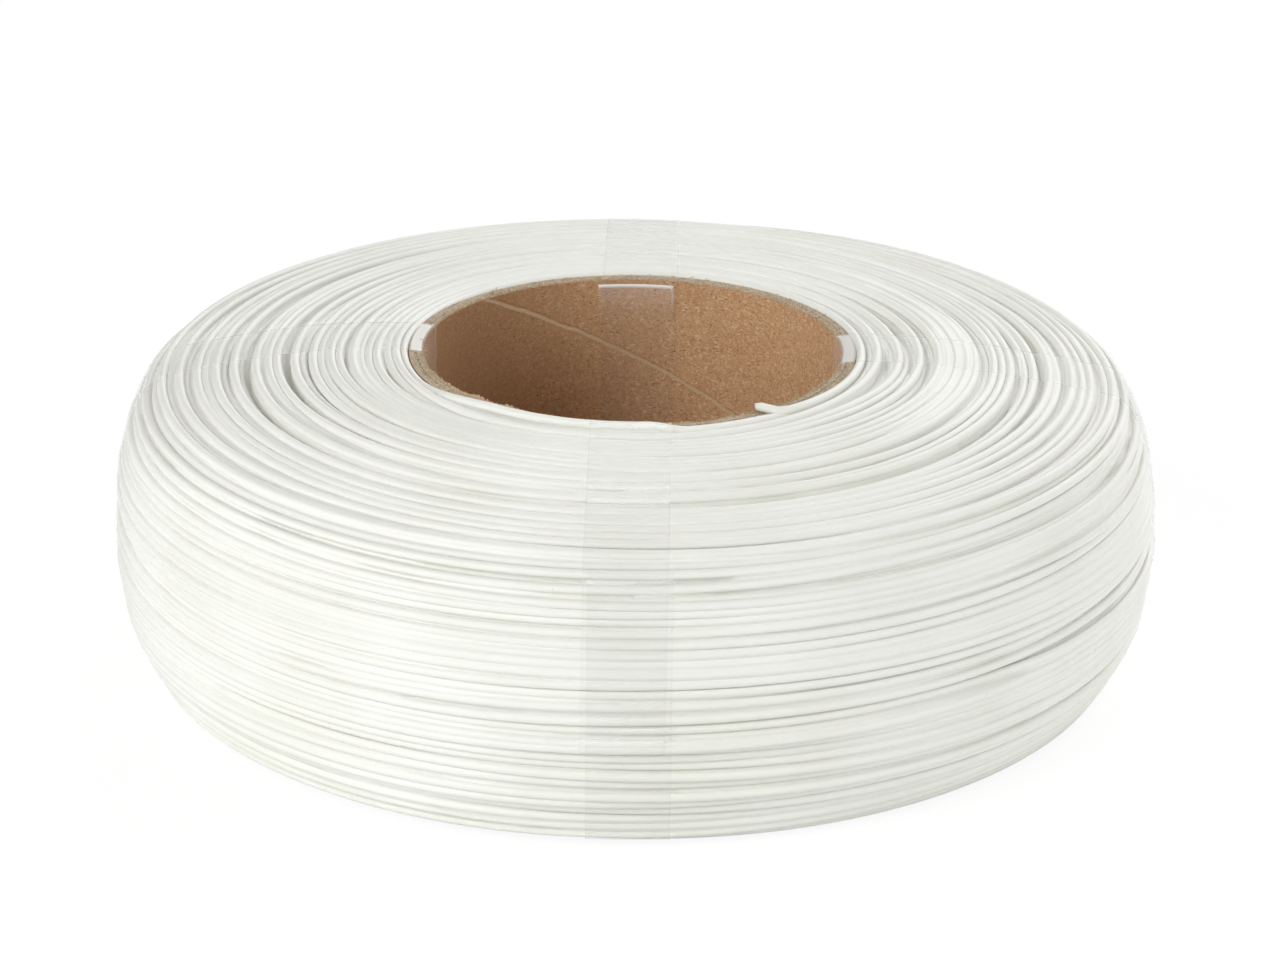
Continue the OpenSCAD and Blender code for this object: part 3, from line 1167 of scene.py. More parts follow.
    def slip_turn(self) -> None:
        """Let the first turn lie up on the core's rim for a stretch at the front left."""
        turn = self.start_azimuth + np.arange(2 * self.columns) * FULL_TURN / self.columns
        rest, slip = (ease_in_out(np.interp(turn, stops, (0.0, 1.0, 1.0, 0.0)))
                      for stops in (self.rest_stops, self.slip_stops))
        radius, height = self.radius[:2].ravel(), self.height[:2].ravel()
        height += rest * (self.rest_z - height)
        radius += slip * (self.slip_r - radius)
        height += slip * (self.slip_z - height)
        self.radius[:2], self.height[:2] = radius.reshape(2, -1), height.reshape(2, -1)

    def azimuth(self, column: Array) -> Array:
        """Azimuth in radians of a column."""
        return math.radians(self.start_azimuth) + column * 2 * math.pi / self.columns

    def section(self, azimuth: float) -> tuple[Array, Array]:
        """Cut the winding.

        Args:
            azimuth: where, in radians.

        Returns:
            Radius and height of every turn where it passes the cut.
        """
        column = (azimuth - math.radians(self.start_azimuth)) / (2 * math.pi) * self.columns
        column %= self.columns
        before = int(column)
        part = column - before
        after = (before + 1) % self.columns
        next_r, next_z = self.radius[:, after], self.height[:, after]
        if after == 0:
            next_r, next_z = np.append(next_r[1:], next_r[-1]), np.append(next_z[1:], next_z[-1])
        return (self.radius[:, before] * (1 - part) + next_r * part,
                self.height[:, before] * (1 - part) + next_z * part)


class Zone(IntEnum):
    """The stretches of the coil's surface. The strands of each are one piece."""

    WALL_LOWER = 0
    WALL_MIDDLE = 1
    WALL_UPPER = 2
    FACE_INNER = 3
    FACE_OUTER = 4
    BASE_INNER = 5
    BASE_OUTER = 6


HIDDEN = -1


@dataclass
class FilamentCoil:
    """The wound strand as it shows: each strand near the surface, and a plain heart inside."""

    winder: Winder
    sides: int = 12
    # Strands that lie less deep than this are shown, and so is all that is this near the upper rim
    keep_depth: float = 3.3
    keep_rim: float = 4.8
    # Points by which a run goes on under its neighbours, the shortest run, and where the inner end takes over
    carry_on: int = 9
    least_run: int = 4
    first_point: int = 16
    # The height map that tells how deep a strand lies
    look_cell: float = 0.25
    look_margin: int = 6
    look_spare: int = 16
    crest_reach: float = 1.0
    # Where the wall's strands begin and stop, below its lower and above its upper edge, and how zones divide
    wall_past: tuple[float, float] = (1.0, 1.5)
    wall_bands: tuple[float, float] = (19.0, 37.0)
    face_split: float = 70.0
    # The heart: how far it stays from the faces and the core, and the spacing of its points
    heart_depth: float = 2.6
    inner_wall: float = 0.3
    inner_points: int = 30
    skin_step: float = 0.3
    bare_every: int = 12
    bare_within: float = 0.4
    # Grooves: how deep, how uneven and within what spread, how much more on the right, their share on the
    # face, and over how many stations and columns their depth changes
    groove_depth: float = 0.44
    groove_uneven: float = 0.32
    groove_spread: tuple[float, float] = (-1.2, 2.0)
    groove_right: float = 0.4
    groove_face: float = 0.88
    groove_grain: tuple[float, float] = (2.2, 9.0)
    groove_seed: int = 9
    fill_reaches: tuple[int, ...] = (1, 1, 2)

    def depth(self, along: Array, out: Array, size: float) -> Array:
        """Find how deep every strand point lies below one side of the coil.

        Args:
            along: position of the points along the side.
            out: position of the points across the side, outwards.
            size: length of the side.

        Returns:
            Depth in millimetres below the surface near each point.
        """
        a = self.winder.form.strand_r
        cells = int(size / self.look_cell) + self.look_spare
        columns = along.shape[1]
        top = np.full((cells, columns), -np.inf)
        cols = np.broadcast_to(np.arange(columns), along.shape)
        first = np.round(along / self.look_cell).astype(int) + self.look_margin
        reach = int(a / self.look_cell)
        for k in range(-reach, reach + 1):
            at = np.clip(first + k, 0, cells - 1)
            drop = a * a - ((at - self.look_margin) * self.look_cell - along) ** 2
            np.maximum.at(top, (at, cols), out + np.sqrt(np.maximum(drop, 0.0)))
        wide = top.copy()
        reach = int(self.crest_reach / self.look_cell)
        for k in range(-reach, reach + 1):
            wide = np.maximum(wide, np.roll(top, k, axis=0))
        return wide[np.clip(first, 0, cells - 1), cols] - (out + a)

    def zones(self) -> Array:
        """Sort the strand's points by where they show.

        Returns:
            The zone of each point, one row for each turn, or HIDDEN.
        """
        r, z = self.winder.radius, self.winder.height
        form = self.winder.form
        width = form.outer_r - form.inner_r
        below, above = self.wall_past
        show_wall = self.depth(z, r, form.top_z) < self.keep_depth
        show_wall &= (z > form.edge_bottom - below) & (z < form.edge_top + above)
        show_face = (self.depth(r - form.inner_r, z, width) < self.keep_depth) & (z > form.widest_z)
        show_face |= (r < form.inner_r + self.keep_rim) & (z > form.top_z - self.keep_rim)
        show_base = (self.depth(r - form.inner_r, -z, width) < self.keep_depth) & (z < form.widest_z)
        zone = np.full(r.shape, HIDDEN)
        outer = r > self.face_split
        zone[show_base] = np.where(outer, Zone.BASE_OUTER, Zone.BASE_INNER)[show_base]
        zone[show_face] = np.where(outer, Zone.FACE_OUTER, Zone.FACE_INNER)[show_face]
        zone[show_wall] = np.digitize(z, self.wall_bands)[show_wall]
        flat = zone.ravel()
        flat[:self.first_point] = HIDDEN
        flat[self.winder.end:] = HIDDEN
        return zone

    def build(self, finish: Material) -> None:
        """Sweep the strands that show and add the heart.

        Args:
            finish: the strands' material.
        """
        winder = self.winder
        zones = self.zones()
        around = winder.azimuth(np.arange(zones.size) % winder.columns)
        points = polar(winder.radius.ravel(), around, winder.height.ravel())
        tree = self.sweep_tree()
        for zone in Zone:
            spans = self.spans(zones.ravel(), zone)
            used = np.concatenate([np.arange(a, b) for a, b in spans])
            edges, at = [], 0
            for a, b in spans:
                edges.extend((i, i + 1) for i in range(at, at + b - a - 1))
                at += b - a
            piece = mesh_object(f"coil_{zone.name.lower()}", points[used], [], edges)
            tree.apply(piece, {"Strand radius": winder.form.strand_r * MM, "Strand sides": self.sides,
                               "Finish": finish})
            own(piece, "filament", "filament_pack", "filament_outer_layer")
        shown = zones >= 0
        shown[0, :self.first_point] = True
        self.heart(shown, finish)

    def spans(self, zones: Array, zone: Zone) -> list[tuple[int, int]]:
        """List the runs of strand in a zone, each carried on into its neighbours so that no gap shows.

        Args:
            zones: the zone of each point along the strand.
            zone: the zone wanted.

        Returns:
            First point and the one past the last of each run.
        """
        mask = zones == zone
        more = mask.copy()
        for k in range(1, self.carry_on + 1):
            more[k:] |= mask[:-k] & (zones[k:] < 0)
            more[:-k] |= mask[k:] & (zones[:-k] < 0)
        more[1:] |= mask[:-1]
        more[:self.first_point] = False
        more[self.winder.end:] = False
        edge = np.flatnonzero(np.diff(np.concatenate([[0], more.astype(int), [0]])))
        return [(a, b) for a, b in zip(edge[::2], edge[1::2]) if b - a >= self.least_run]

    def sweep_tree(self) -> GeometryTree:
        """Make the tree that sweeps a round strand along each run of points.

        Returns:
            The tree.
        """
        tree = GeometryTree("strand_sweep", {"Strand radius": "NodeSocketFloat",
                                             "Strand sides": "NodeSocketInt", "Finish": "NodeSocketMaterial"})
        path = tree.add("GeometryNodeMeshToCurve", {"Mesh": tree.source["Geometry"]})
        ring = tree.add("GeometryNodeCurvePrimitiveCircle",
                        {"Resolution": tree.source["Strand sides"], "Radius": tree.source["Strand radius"]})
        tube = tree.add("GeometryNodeCurveToMesh",
                        {"Fill Caps": True, "Curve": path.outputs[0], "Profile Curve": ring.outputs[0]})
        soft = tree.add("GeometryNodeSetShadeSmooth", {"Geometry": tube.outputs[0]})
        tree.end(soft.outputs[0])
        return tree

    def heart(self, shown: Array, finish: Material) -> Object:
        """Make the layers below as one closed body whose skin lies low in the grooves of the strands on it.

        Args:
            shown: whether each strand point belongs to a strand that shows.
            finish: the strands' material.

        Returns:
            The finished piece.
        """
        winder, form = self.winder, self.winder.form
        inner = form.inner_r + self.inner_wall
        low, high = form.base_z + self.heart_depth, form.top_z - self.heart_depth
        side = [(inner, z) for z in np.linspace(low, high, self.inner_points)]
        line = even_out(np.vstack([form.section(), side]), self.skin_step)
        line = line[(line[:, 0] > inner + self.inner_wall) | (np.arange(len(line)) % self.bare_every == 0)]
        tangent, normal = frames(line)
        a = form.strand_r
        skin = np.empty((winder.columns, len(line)))
        for column in range(winder.columns):
            here = shown[:, column]
            cut = np.stack([winder.radius[here, column], winder.height[here, column]], axis=1)
            away = cut[None] - line[:, None]
            along = (away * tangent[:, None]).sum(axis=2)
            out = (away * normal[:, None]).sum(axis=2)
            near = (np.abs(along) < a) & (out > -self.keep_depth - a) & (out < self.keep_depth)
            crest = np.where(near, out + np.sqrt(np.maximum(a * a - along ** 2, 0.0)), -self.keep_depth)
            skin[column] = crest.max(axis=1)
        filled = np.mean([self.fill(skin, reach) for reach in self.fill_reaches], axis=0)
        filled -= self.uneven_grooves(line)
        filled[:, line[:, 0] < inner + self.bare_within] = 0.0
        around = np.broadcast_to(winder.azimuth(np.arange(winder.columns))[:, None], filled.shape)
        rows = polar(line[None, :, 0] + normal[None, :, 0] * filled, around,
                     line[None, :, 1] + normal[None, :, 1] * filled)
        faces = grid_faces(winder.columns, len(line), True, True)
        piece = smooth(mesh_object("coil_heart", rows.reshape(-1, 3), faces))
        fix_normals(piece)
        piece.data.materials.append(finish)
        return own(piece, "filament", "filament_pack")

    def uneven_grooves(self, line: Array) -> Array:
        """Depth of the grooves, which differs from groove to groove and is greatest on the right of the wall.

        Args:
            line: radius and height of the stations along the section.

        Returns:
            Depth in millimetres for each column and station.
        """
        columns, stations = self.winder.columns, len(line)
        rng = np.random.default_rng(self.groove_seed)
        raw = np.fft.rfft2(rng.standard_normal((stations, columns)))
        down = np.fft.fftfreq(stations)[:, None] * self.groove_grain[0]
        along = np.fft.rfftfreq(columns)[None, :] * self.groove_grain[1]
        soft = np.fft.irfft2(raw * np.exp(-0.5 * (2 * math.pi) ** 2 * (down ** 2 + along ** 2)),
                             s=(stations, columns)).T
        depth = self.groove_depth + self.groove_uneven * np.clip(soft / soft.std(), *self.groove_spread)
        right = np.sin(self.winder.azimuth(np.arange(columns)))[:, None]
        face = line[None, :, 1] > self.winder.form.edge_top
        return depth * np.where(face, self.groove_face, 1.0 + self.groove_right * right)

    @staticmethod
    def fill(skin: Array, reach: int) -> Array:
        """Fill the grooves that are narrower than twice a reach.

        Args:
            skin: height of the crests for each column and station.
            reach: reach in stations.

        Returns:
            The filled skin.
        """
        wide = np.max([np.roll(skin, k, axis=1) for k in range(-reach, reach + 1)], axis=0)
        return np.min([np.roll(wide, k, axis=1) for k in range(-reach, reach + 1)], axis=0)


@dataclass
class InnerEnd:
    """The snipped start of the strand, which leaves the first turn and points over the bore."""

    winder: Winder
    sides: int = 20
    # Points of the first turn that belong to the end, how much it has shrunk where it leaves, and its climb
    last_point: int = 17
    tuck: float = 0.75
    ride_over: float = 0.5
    bend_angle: float = 53.0
    bend_radius: float = 3.0
    bend_steps: int = 10
    stub: float = 3.9
    stub_from: float = 0.12
    stub_steps: int = 12
    lift: float = 0.7
    # The cutter's nip: its length, how far it flattens and spreads the tip, and how it draws the last edge in
    nip: float = 1.1
    flatten: float = 0.62
    flatten_power: float = 1.6
    spread: float = 0.16
    draw_in: float = 0.1
    draw_in_power: float = 4.0
    # The cut: its slant, its ragged rim and how far its middle stands out
    slant: float = 0.28
    ragged: float = 0.06
    ragged_waves: int = 5
    middle_out: float = 0.12

    def path(self) -> Array:
        """Lay the end out, from the first turn to its tip.

        Returns:
            Points along the end in millimetres.
        """
        count = self.last_point + 1
        over = self.ride_over * np.linspace(1.0, 0.0, count) ** 2
        arc = polar(self.winder.radius.ravel()[:count], self.winder.azimuth(np.arange(count)),
                    self.winder.height.ravel()[:count] + over)[::-1]
        forward = arc[-1] - arc[-2]
        heading = math.atan2(forward[1], forward[0])
        points, here = list(arc), arc[-1].copy()
        turn = math.radians(self.bend_angle)
        for _ in range(self.bend_steps):
            heading -= turn / self.bend_steps
            ahead = np.array([math.cos(heading), math.sin(heading), 0.0])
            here = here + ahead * self.bend_radius * turn / self.bend_steps
            points.append(here.copy())
        way = np.array([math.cos(heading), math.sin(heading), self.lift / self.stub])
        for share in np.linspace(self.stub_from, 1.0, self.stub_steps):
            points.append(here + way * self.stub * share)
        return np.array(points)

    def build(self, finish: Material) -> Object:
        """Sweep the end, flatten its nipped tip and close it.

        Args:
            finish: the strand's material.

        Returns:
            The finished piece.
        """
        path = self.path()
        ahead = np.gradient(path, axis=0)
        ahead /= np.linalg.norm(ahead, axis=1)[:, None]
        side = np.cross(ahead, np.array([0.0, 0.0, 1.0]))
        side /= np.linalg.norm(side, axis=1)[:, None]
        over = np.cross(side, ahead)
        length = np.concatenate([[0], np.cumsum(np.linalg.norm(np.diff(path, axis=0), axis=1))])
        near_tip = np.clip(1 - (length[-1] - length) / self.nip, 0, 1)
        radius = self.winder.form.strand_r
        tall = radius * (1 - self.flatten * near_tip ** self.flatten_power)
        wide = radius * (1 + self.spread * near_tip - self.draw_in * near_tip ** self.draw_in_power)
        angle = np.linspace(0, 2 * math.pi, self.sides, endpoint=False)
        rings = (path[:, None, :] + side[:, None, :] * (wide[:, None] * np.cos(angle))[:, :, None]
                 + over[:, None, :] * (tall[:, None] * np.sin(angle))[:, :, None])
        rings[0] = path[0] + self.tuck * (rings[0] - path[0])
        cut = self.slant * np.cos(angle) + self.ragged * np.sin(self.ragged_waves * angle)
        rings[-1] += ahead[-1] * cut[:, None]
        faces = [f[::-1] for f in grid_faces(len(path), self.sides, False, True)]
        points = rings.reshape(-1, 3)
        tip = points[-self.sides:].mean(axis=0) + ahead[-1] * self.middle_out
        points = np.vstack([points, tip[None], path[0][None]])
        last = (len(path) - 1) * self.sides
        tip_at, foot_at = len(points) - 2, len(points) - 1
        for j in range(self.sides):
            faces.append((last + (j + 1) % self.sides, tip_at, last + j)[::-1])
            faces.append(((j + 1) % self.sides, foot_at, j))
        piece = smooth(mesh_object("inner_end", points, faces))
        fix_normals(piece)
        piece.data.materials.append(finish)
        return own(piece, "filament", "filament_inner_end")


# ---------------------------------------------------------------- the core


@dataclass(frozen=True)
class FibreRow:
    """A row of torn fibres: the piece's name, the edge that it lies on, its count and seed, and its paper."""

    name: str
    radius: float
    height: float
    count: int
    seed: int
    paper: Paper
    slot: str


@dataclass
class CardboardCore:
    """The rolled core: its own paper on each layer, and the torn fibres along its sawn rims."""

    bore_r: float = 40.0
    outer_r: float = 42.82
    rim_z: float = 59.0
    foot_z: float = 0.6
    plies: dict = field(default_factory=lambda: {
        "core_inner_liner": Paper.INNER_LINER, "core_ply_1": Paper.PALE_PLY, "core_ply_2": Paper.DARK_PLY,
        "core_ply_3": Paper.PALE_PLY, "core_ply_4": Paper.PALE_PLY, "core_outer_liner": Paper.OUTER_LINER})
    # The felted skin on the rim: its points, how rough it is, the split between two plies, and its rounding
    rim_steps: int = 1500
    rim_rows: int = 22
    rim_seed: int = 5
    rim_felting: int = 2
    rim_rough: float = 0.11
    rim_soft: float = 0.55
    rim_sharp: float = 0.3
    rim_split: float = 0.16
    rim_split_at: float = 0.48
    rim_split_wander: float = 0.05
    rim_split_half: float = 0.06
    rim_round: float = 0.12
    rim_round_power: int = 6
    rim_lift: float = 0.02
    rim_inset: float = 0.02
    rim_sunk: float = 0.1
    rim_most: float = 0.22
    # The liner's lip: its height, its waves round the rim and their shares of it, and its ragged tear
    lip_steps: int = 1080
    lip_seed: int = 7
    lip_rise: float = 0.3
    lip_most: float = 0.85
    lip_least: float = 0.04
    lip_waves: tuple[tuple[int, float], ...] = ((5, 0.35), (17, 0.3), (43, 0.3), (97, 0.3), (211, 0.35))
    lip_beat: int = 3
    lip_tear: float = 0.5
    lip_tear_span: tuple[float, float] = (-1.0, 1.6)
    # Where it stands highest, and how uneven it is there
    lip_high: float = 0.75
    lip_high_at: float = 325.0
    lip_high_half: float = 24.0
    lip_high_share: float = 0.8
    lip_high_wave: float = 0.3
    lip_high_waves: int = 31
    lip_high_phase: float = 1.0
    # How it leans outwards, and its thickness at the foot and at the top
    lean_wave: float = 0.12
    lean_waves: int = 23
    lean_rough: float = 0.1
    lean_most: float = 0.3
    lip_inset: float = 0.015
    lip_foot: float = 0.24
    lip_top: float = 0.07
    lip_sunk: float = 0.05
    lip_bevel: float = 0.96
    # Loose fibres: their size, their bend in fibre lengths, how they tilt, vary and stray from the edge
    fibre_length: float = 0.9
    fibre_width: float = 0.09
    fibre_count: int = 420
    fibre_middle: tuple[float, float, float] = (0.0, 0.5, 0.35)
    fibre_end: tuple[float, float, float] = (0.35, 1.0, 0.1)
    fibre_points: int = 5
    fibre_tilt: float = 0.5
    fibre_sizes: tuple[float, float] = (0.25, 1.25)
    fibre_stray: tuple[float, float, float] = (0.25, 0.25, 0.05)
    edge_points: int = 180

    def dress(self, nodes: dict) -> dict:
        """Give each CAD layer its paper.

        Args:
            nodes: the frame's CAD nodes by name.

        Returns:
            The papers by kind.
        """
        made = {kind: finish.make() for kind, finish in PAPERS.items()}
        for name, kind in self.plies.items():
            mesh = nodes[name].data
            for index in range(max(1, len(mesh.materials))):
                if len(mesh.materials) <= index:
                    mesh.materials.append(made[kind])
                mesh.materials[index] = made[kind]
            LOG.info("%s: %s", name, kind.value)
        return made

    def fibre_tree(self) -> GeometryTree:
        """Make the tree that sets torn fibres along a rim.

        Returns:
            The tree.
        """
        tree = GeometryTree("torn_fibres", {"Fibre count": "NodeSocketInt", "Fibre length": "NodeSocketFloat",
                                            "Fibre width": "NodeSocketFloat", "Seed": "NodeSocketInt",
                                            "Finish": "NodeSocketMaterial"})
        source = tree.source
        rim = tree.add("GeometryNodeMeshToCurve", {"Mesh": source["Geometry"]})
        spots = tree.add("GeometryNodeCurveToPoints",
                         {"mode": "COUNT", "Curve": rim.outputs[0], "Count": source["Fibre count"]})
        line = tree.add("GeometryNodeCurveQuadraticBezier",
                        {"Resolution": self.fibre_points, "Start": (0.0, 0.0, 0.0),
                         "Middle": self.fibre_middle, "End": self.fibre_end})
        ring = tree.add("GeometryNodeCurvePrimitiveCircle",
                        {"Resolution": self.fibre_points, "Radius": source["Fibre width"]})
        long = tree.add("ShaderNodeCombineXYZ", {axis: source["Fibre length"] for axis in range(3)})
        scaled = tree.add("GeometryNodeTransform", {"Geometry": line.outputs[0], "Scale": long.outputs[0]})
        hair = tree.add("GeometryNodeCurveToMesh",
                        {"Fill Caps": True, "Curve": scaled.outputs[0], "Profile Curve": ring.outputs[0]})
        tilt = self.fibre_tilt
        spin = tree.add("FunctionNodeRandomValue",
                        {"data_type": "FLOAT_VECTOR", 0: (-tilt, -tilt, 0.0), 1: (tilt, tilt, 2 * math.pi),
                         "Seed": source["Seed"]})
        least, most = self.fibre_sizes
        size = tree.add("FunctionNodeRandomValue",
                        {"data_type": "FLOAT", 2: least, 3: most, "Seed": source["Seed"]})
        placed = tree.add("GeometryNodeInstanceOnPoints",
                          {"Points": spots.outputs[0], "Instance": hair.outputs[0],
                           "Rotation": spin.outputs[0], "Scale": size.outputs[1]})
        one_way, other_way = (tuple(sign * away * MM for away in self.fibre_stray) for sign in (-1, 1))
        shift = tree.add("FunctionNodeRandomValue",
                         {"data_type": "FLOAT_VECTOR", 0: one_way, 1: other_way,
                          "Seed": source["Fibre count"]})
        moved = tree.add("GeometryNodeTranslateInstances",
                         {"Local Space": False, "Instances": placed.outputs[0],
                          "Translation": shift.outputs[0]})
        tree.end(moved.outputs[0])
        return tree

    def fibre_rows(self) -> tuple[FibreRow, ...]:
        """Plan the torn fibres of both rims.

        Returns:
            Three rows on the upper rim and one on the lower.
        """
        many, few = self.fibre_count, self.fibre_count // 2
        bore, rim, foot = self.bore_r, self.rim_z, self.foot_z
        torn, grey = (Paper.TORN_FIBRE, "kraft_liner"), (Paper.PALE_PLY, "grey_board")
        return (
            FibreRow("rim_fibres_bore", bore + 0.25, rim + 0.02, many, 3, *torn),
            FibreRow("rim_fibres_middle", bore + 1.3, rim + 0.01, many, 11, *grey),
            FibreRow("rim_fibres_outer", self.outer_r - 0.45, rim + 0.01, few, 23, *torn),
            FibreRow("foot_fibres_bore", bore + 0.3, foot - 0.02, few, 31, *torn),
        )

    def torn_rim(self, row: FibreRow, tree: GeometryTree, finish: Material) -> Object:
        """Set a row of torn fibres round one edge of a rim.

        Args:
            row: the row.
            tree: the tree that sets the fibres.
            finish: their material.

        Returns:
            The finished piece.
        """
        steps = self.edge_points
        angle = np.linspace(0, 2 * math.pi, steps, endpoint=False)
        ring = polar(np.full(steps, row.radius), angle, np.full(steps, row.height))
        piece = mesh_object(row.name, ring, [], [(i, (i + 1) % steps) for i in range(steps)])
        tree.apply(piece, {"Fibre count": row.count, "Fibre length": self.fibre_length * MM,
                           "Fibre width": self.fibre_width / 2 * MM, "Seed": row.seed, "Finish": finish})
        return own(piece, row.slot)

    def torn_lip(self, finish: Material) -> Object:
        """Raise the thin, ragged lip that the saw leaves along the liner's inner edge.

        Args:
            finish: the torn paper's material.

        Returns:
            The finished piece.
        """
        rng = np.random.default_rng(self.lip_seed)
        around = np.linspace(0, 2 * math.pi, self.lip_steps, endpoint=False)
        rise = np.full(self.lip_steps, self.lip_rise)
        for waves, share in self.lip_waves:
            phase = rng.uniform(0, 2 * math.pi, 2)
            beat = np.sin(self.lip_beat * around + phase[1])
            rise += self.lip_rise * share * np.sin(waves * around + phase[0]) * beat
        tear = rng.standard_normal(self.lip_steps).clip(*self.lip_tear_span)
        rise += self.lip_rise * self.lip_tear * tear
        off = (np.degrees(around) - self.lip_high_at) / self.lip_high_half
        raised = self.lip_high * np.exp(-off ** 2)
        wave = np.sin(self.lip_high_waves * around + self.lip_high_phase)
        uneven = self.lip_high_share + self.lip_high_wave * wave
        rise = np.clip(rise + raised * uneven, self.lip_least, self.lip_most + raised)
        lean = self.lean_wave * np.sin(self.lean_waves * around)
        lean = np.clip(lean + self.lean_rough * rng.standard_normal(self.lip_steps), 0.0, self.lean_most)
        foot = np.full(self.lip_steps, self.rim_z - self.lip_sunk)
        inner = self.bore_r + self.lip_inset
        rows = np.stack([polar(inner + 0 * around, around, foot),
                         polar(inner + lean, around, self.rim_z + rise),
                         polar(inner + self.lip_top + lean, around, self.rim_z + rise * self.lip_bevel),
                         polar(inner + self.lip_foot + 0 * around, around, foot)], axis=1)
        faces = grid_faces(self.lip_steps, rows.shape[1], True, True)
        piece = mesh_object("liner_torn_lip", rows.reshape(-1, 3), faces)
        fix_normals(piece)
        piece.data.materials.append(finish)
        return own(piece, "kraft_liner")

    def sawn_rim(self, finish: Material) -> Object:
        """Cover the upper rim with the rough, felted skin that the saw leaves across the plies.

        Args:
            finish: the sawn board's material.

        Returns:
            The finished piece.
        """
        rng = np.random.default_rng(self.rim_seed)
        around = np.linspace(0, 2 * math.pi, self.rim_steps, endpoint=False)
        across = np.linspace(0.0, 1.0, self.rim_rows)[None, :]
        rough = rng.standard_normal((self.rim_steps, self.rim_rows))
        soft = rough.copy()
        for _ in range(self.rim_felting):
            soft = (soft + np.roll(soft, 1, axis=0) + np.roll(soft, -1, axis=0)) / 3
        rise = self.rim_rough * (self.rim_soft * soft + self.rim_sharp * rough)
        split = (across - self.rim_split_at - self.rim_split_wander * soft) / self.rim_split_half
        rise -= self.rim_split * np.exp(-split ** 2)
        rise += self.rim_round * (1 - (2 * across - 1) ** self.rim_round_power) + self.rim_lift
        rise[:, 0] = rise[:, -1] = -self.rim_sunk
        radius = self.bore_r + self.rim_inset + (self.outer_r - self.bore_r - 2 * self.rim_inset) * across
        rows = polar(np.broadcast_to(radius, rise.shape), np.broadcast_to(around[:, None], rise.shape),
                     self.rim_z + np.clip(rise, -self.rim_sunk, self.rim_most))
        faces = [f[::-1] for f in grid_faces(self.rim_steps, self.rim_rows, True)]
        piece = mesh_object("sawn_rim", rows.reshape(-1, 3), faces)
        piece.data.materials.append(finish)
        return own(piece, "grey_board")

    def build(self, nodes: dict) -> None:
        """Dress the layers, roughen the upper rim and set the torn fibres on both rims.

        Args:
            nodes: the frame's CAD nodes by name.
        """
        papers = self.dress(nodes)
        self.sawn_rim(papers[Paper.SAWN_EDGE])
        self.torn_lip(papers[Paper.TORN_FIBRE])
        tree = self.fibre_tree()
        for row in self.fibre_rows():
            self.torn_rim(row, tree, papers[row.paper])


# ---------------------------------------------------------------- the tape bands


class Lap(Enum):
    """Where a band's two ends overlap."""

    OUTER_WALL = "outer_wall"
    BORE = "bore"


@dataclass(frozen=True)
class Crease:
    """A crease across a band: where on its way round and across it, its half length and its height."""

    where: float
    level: float
    reach: float
    height: float
    slope: float = 0.12
    sharpness: float = 0.5


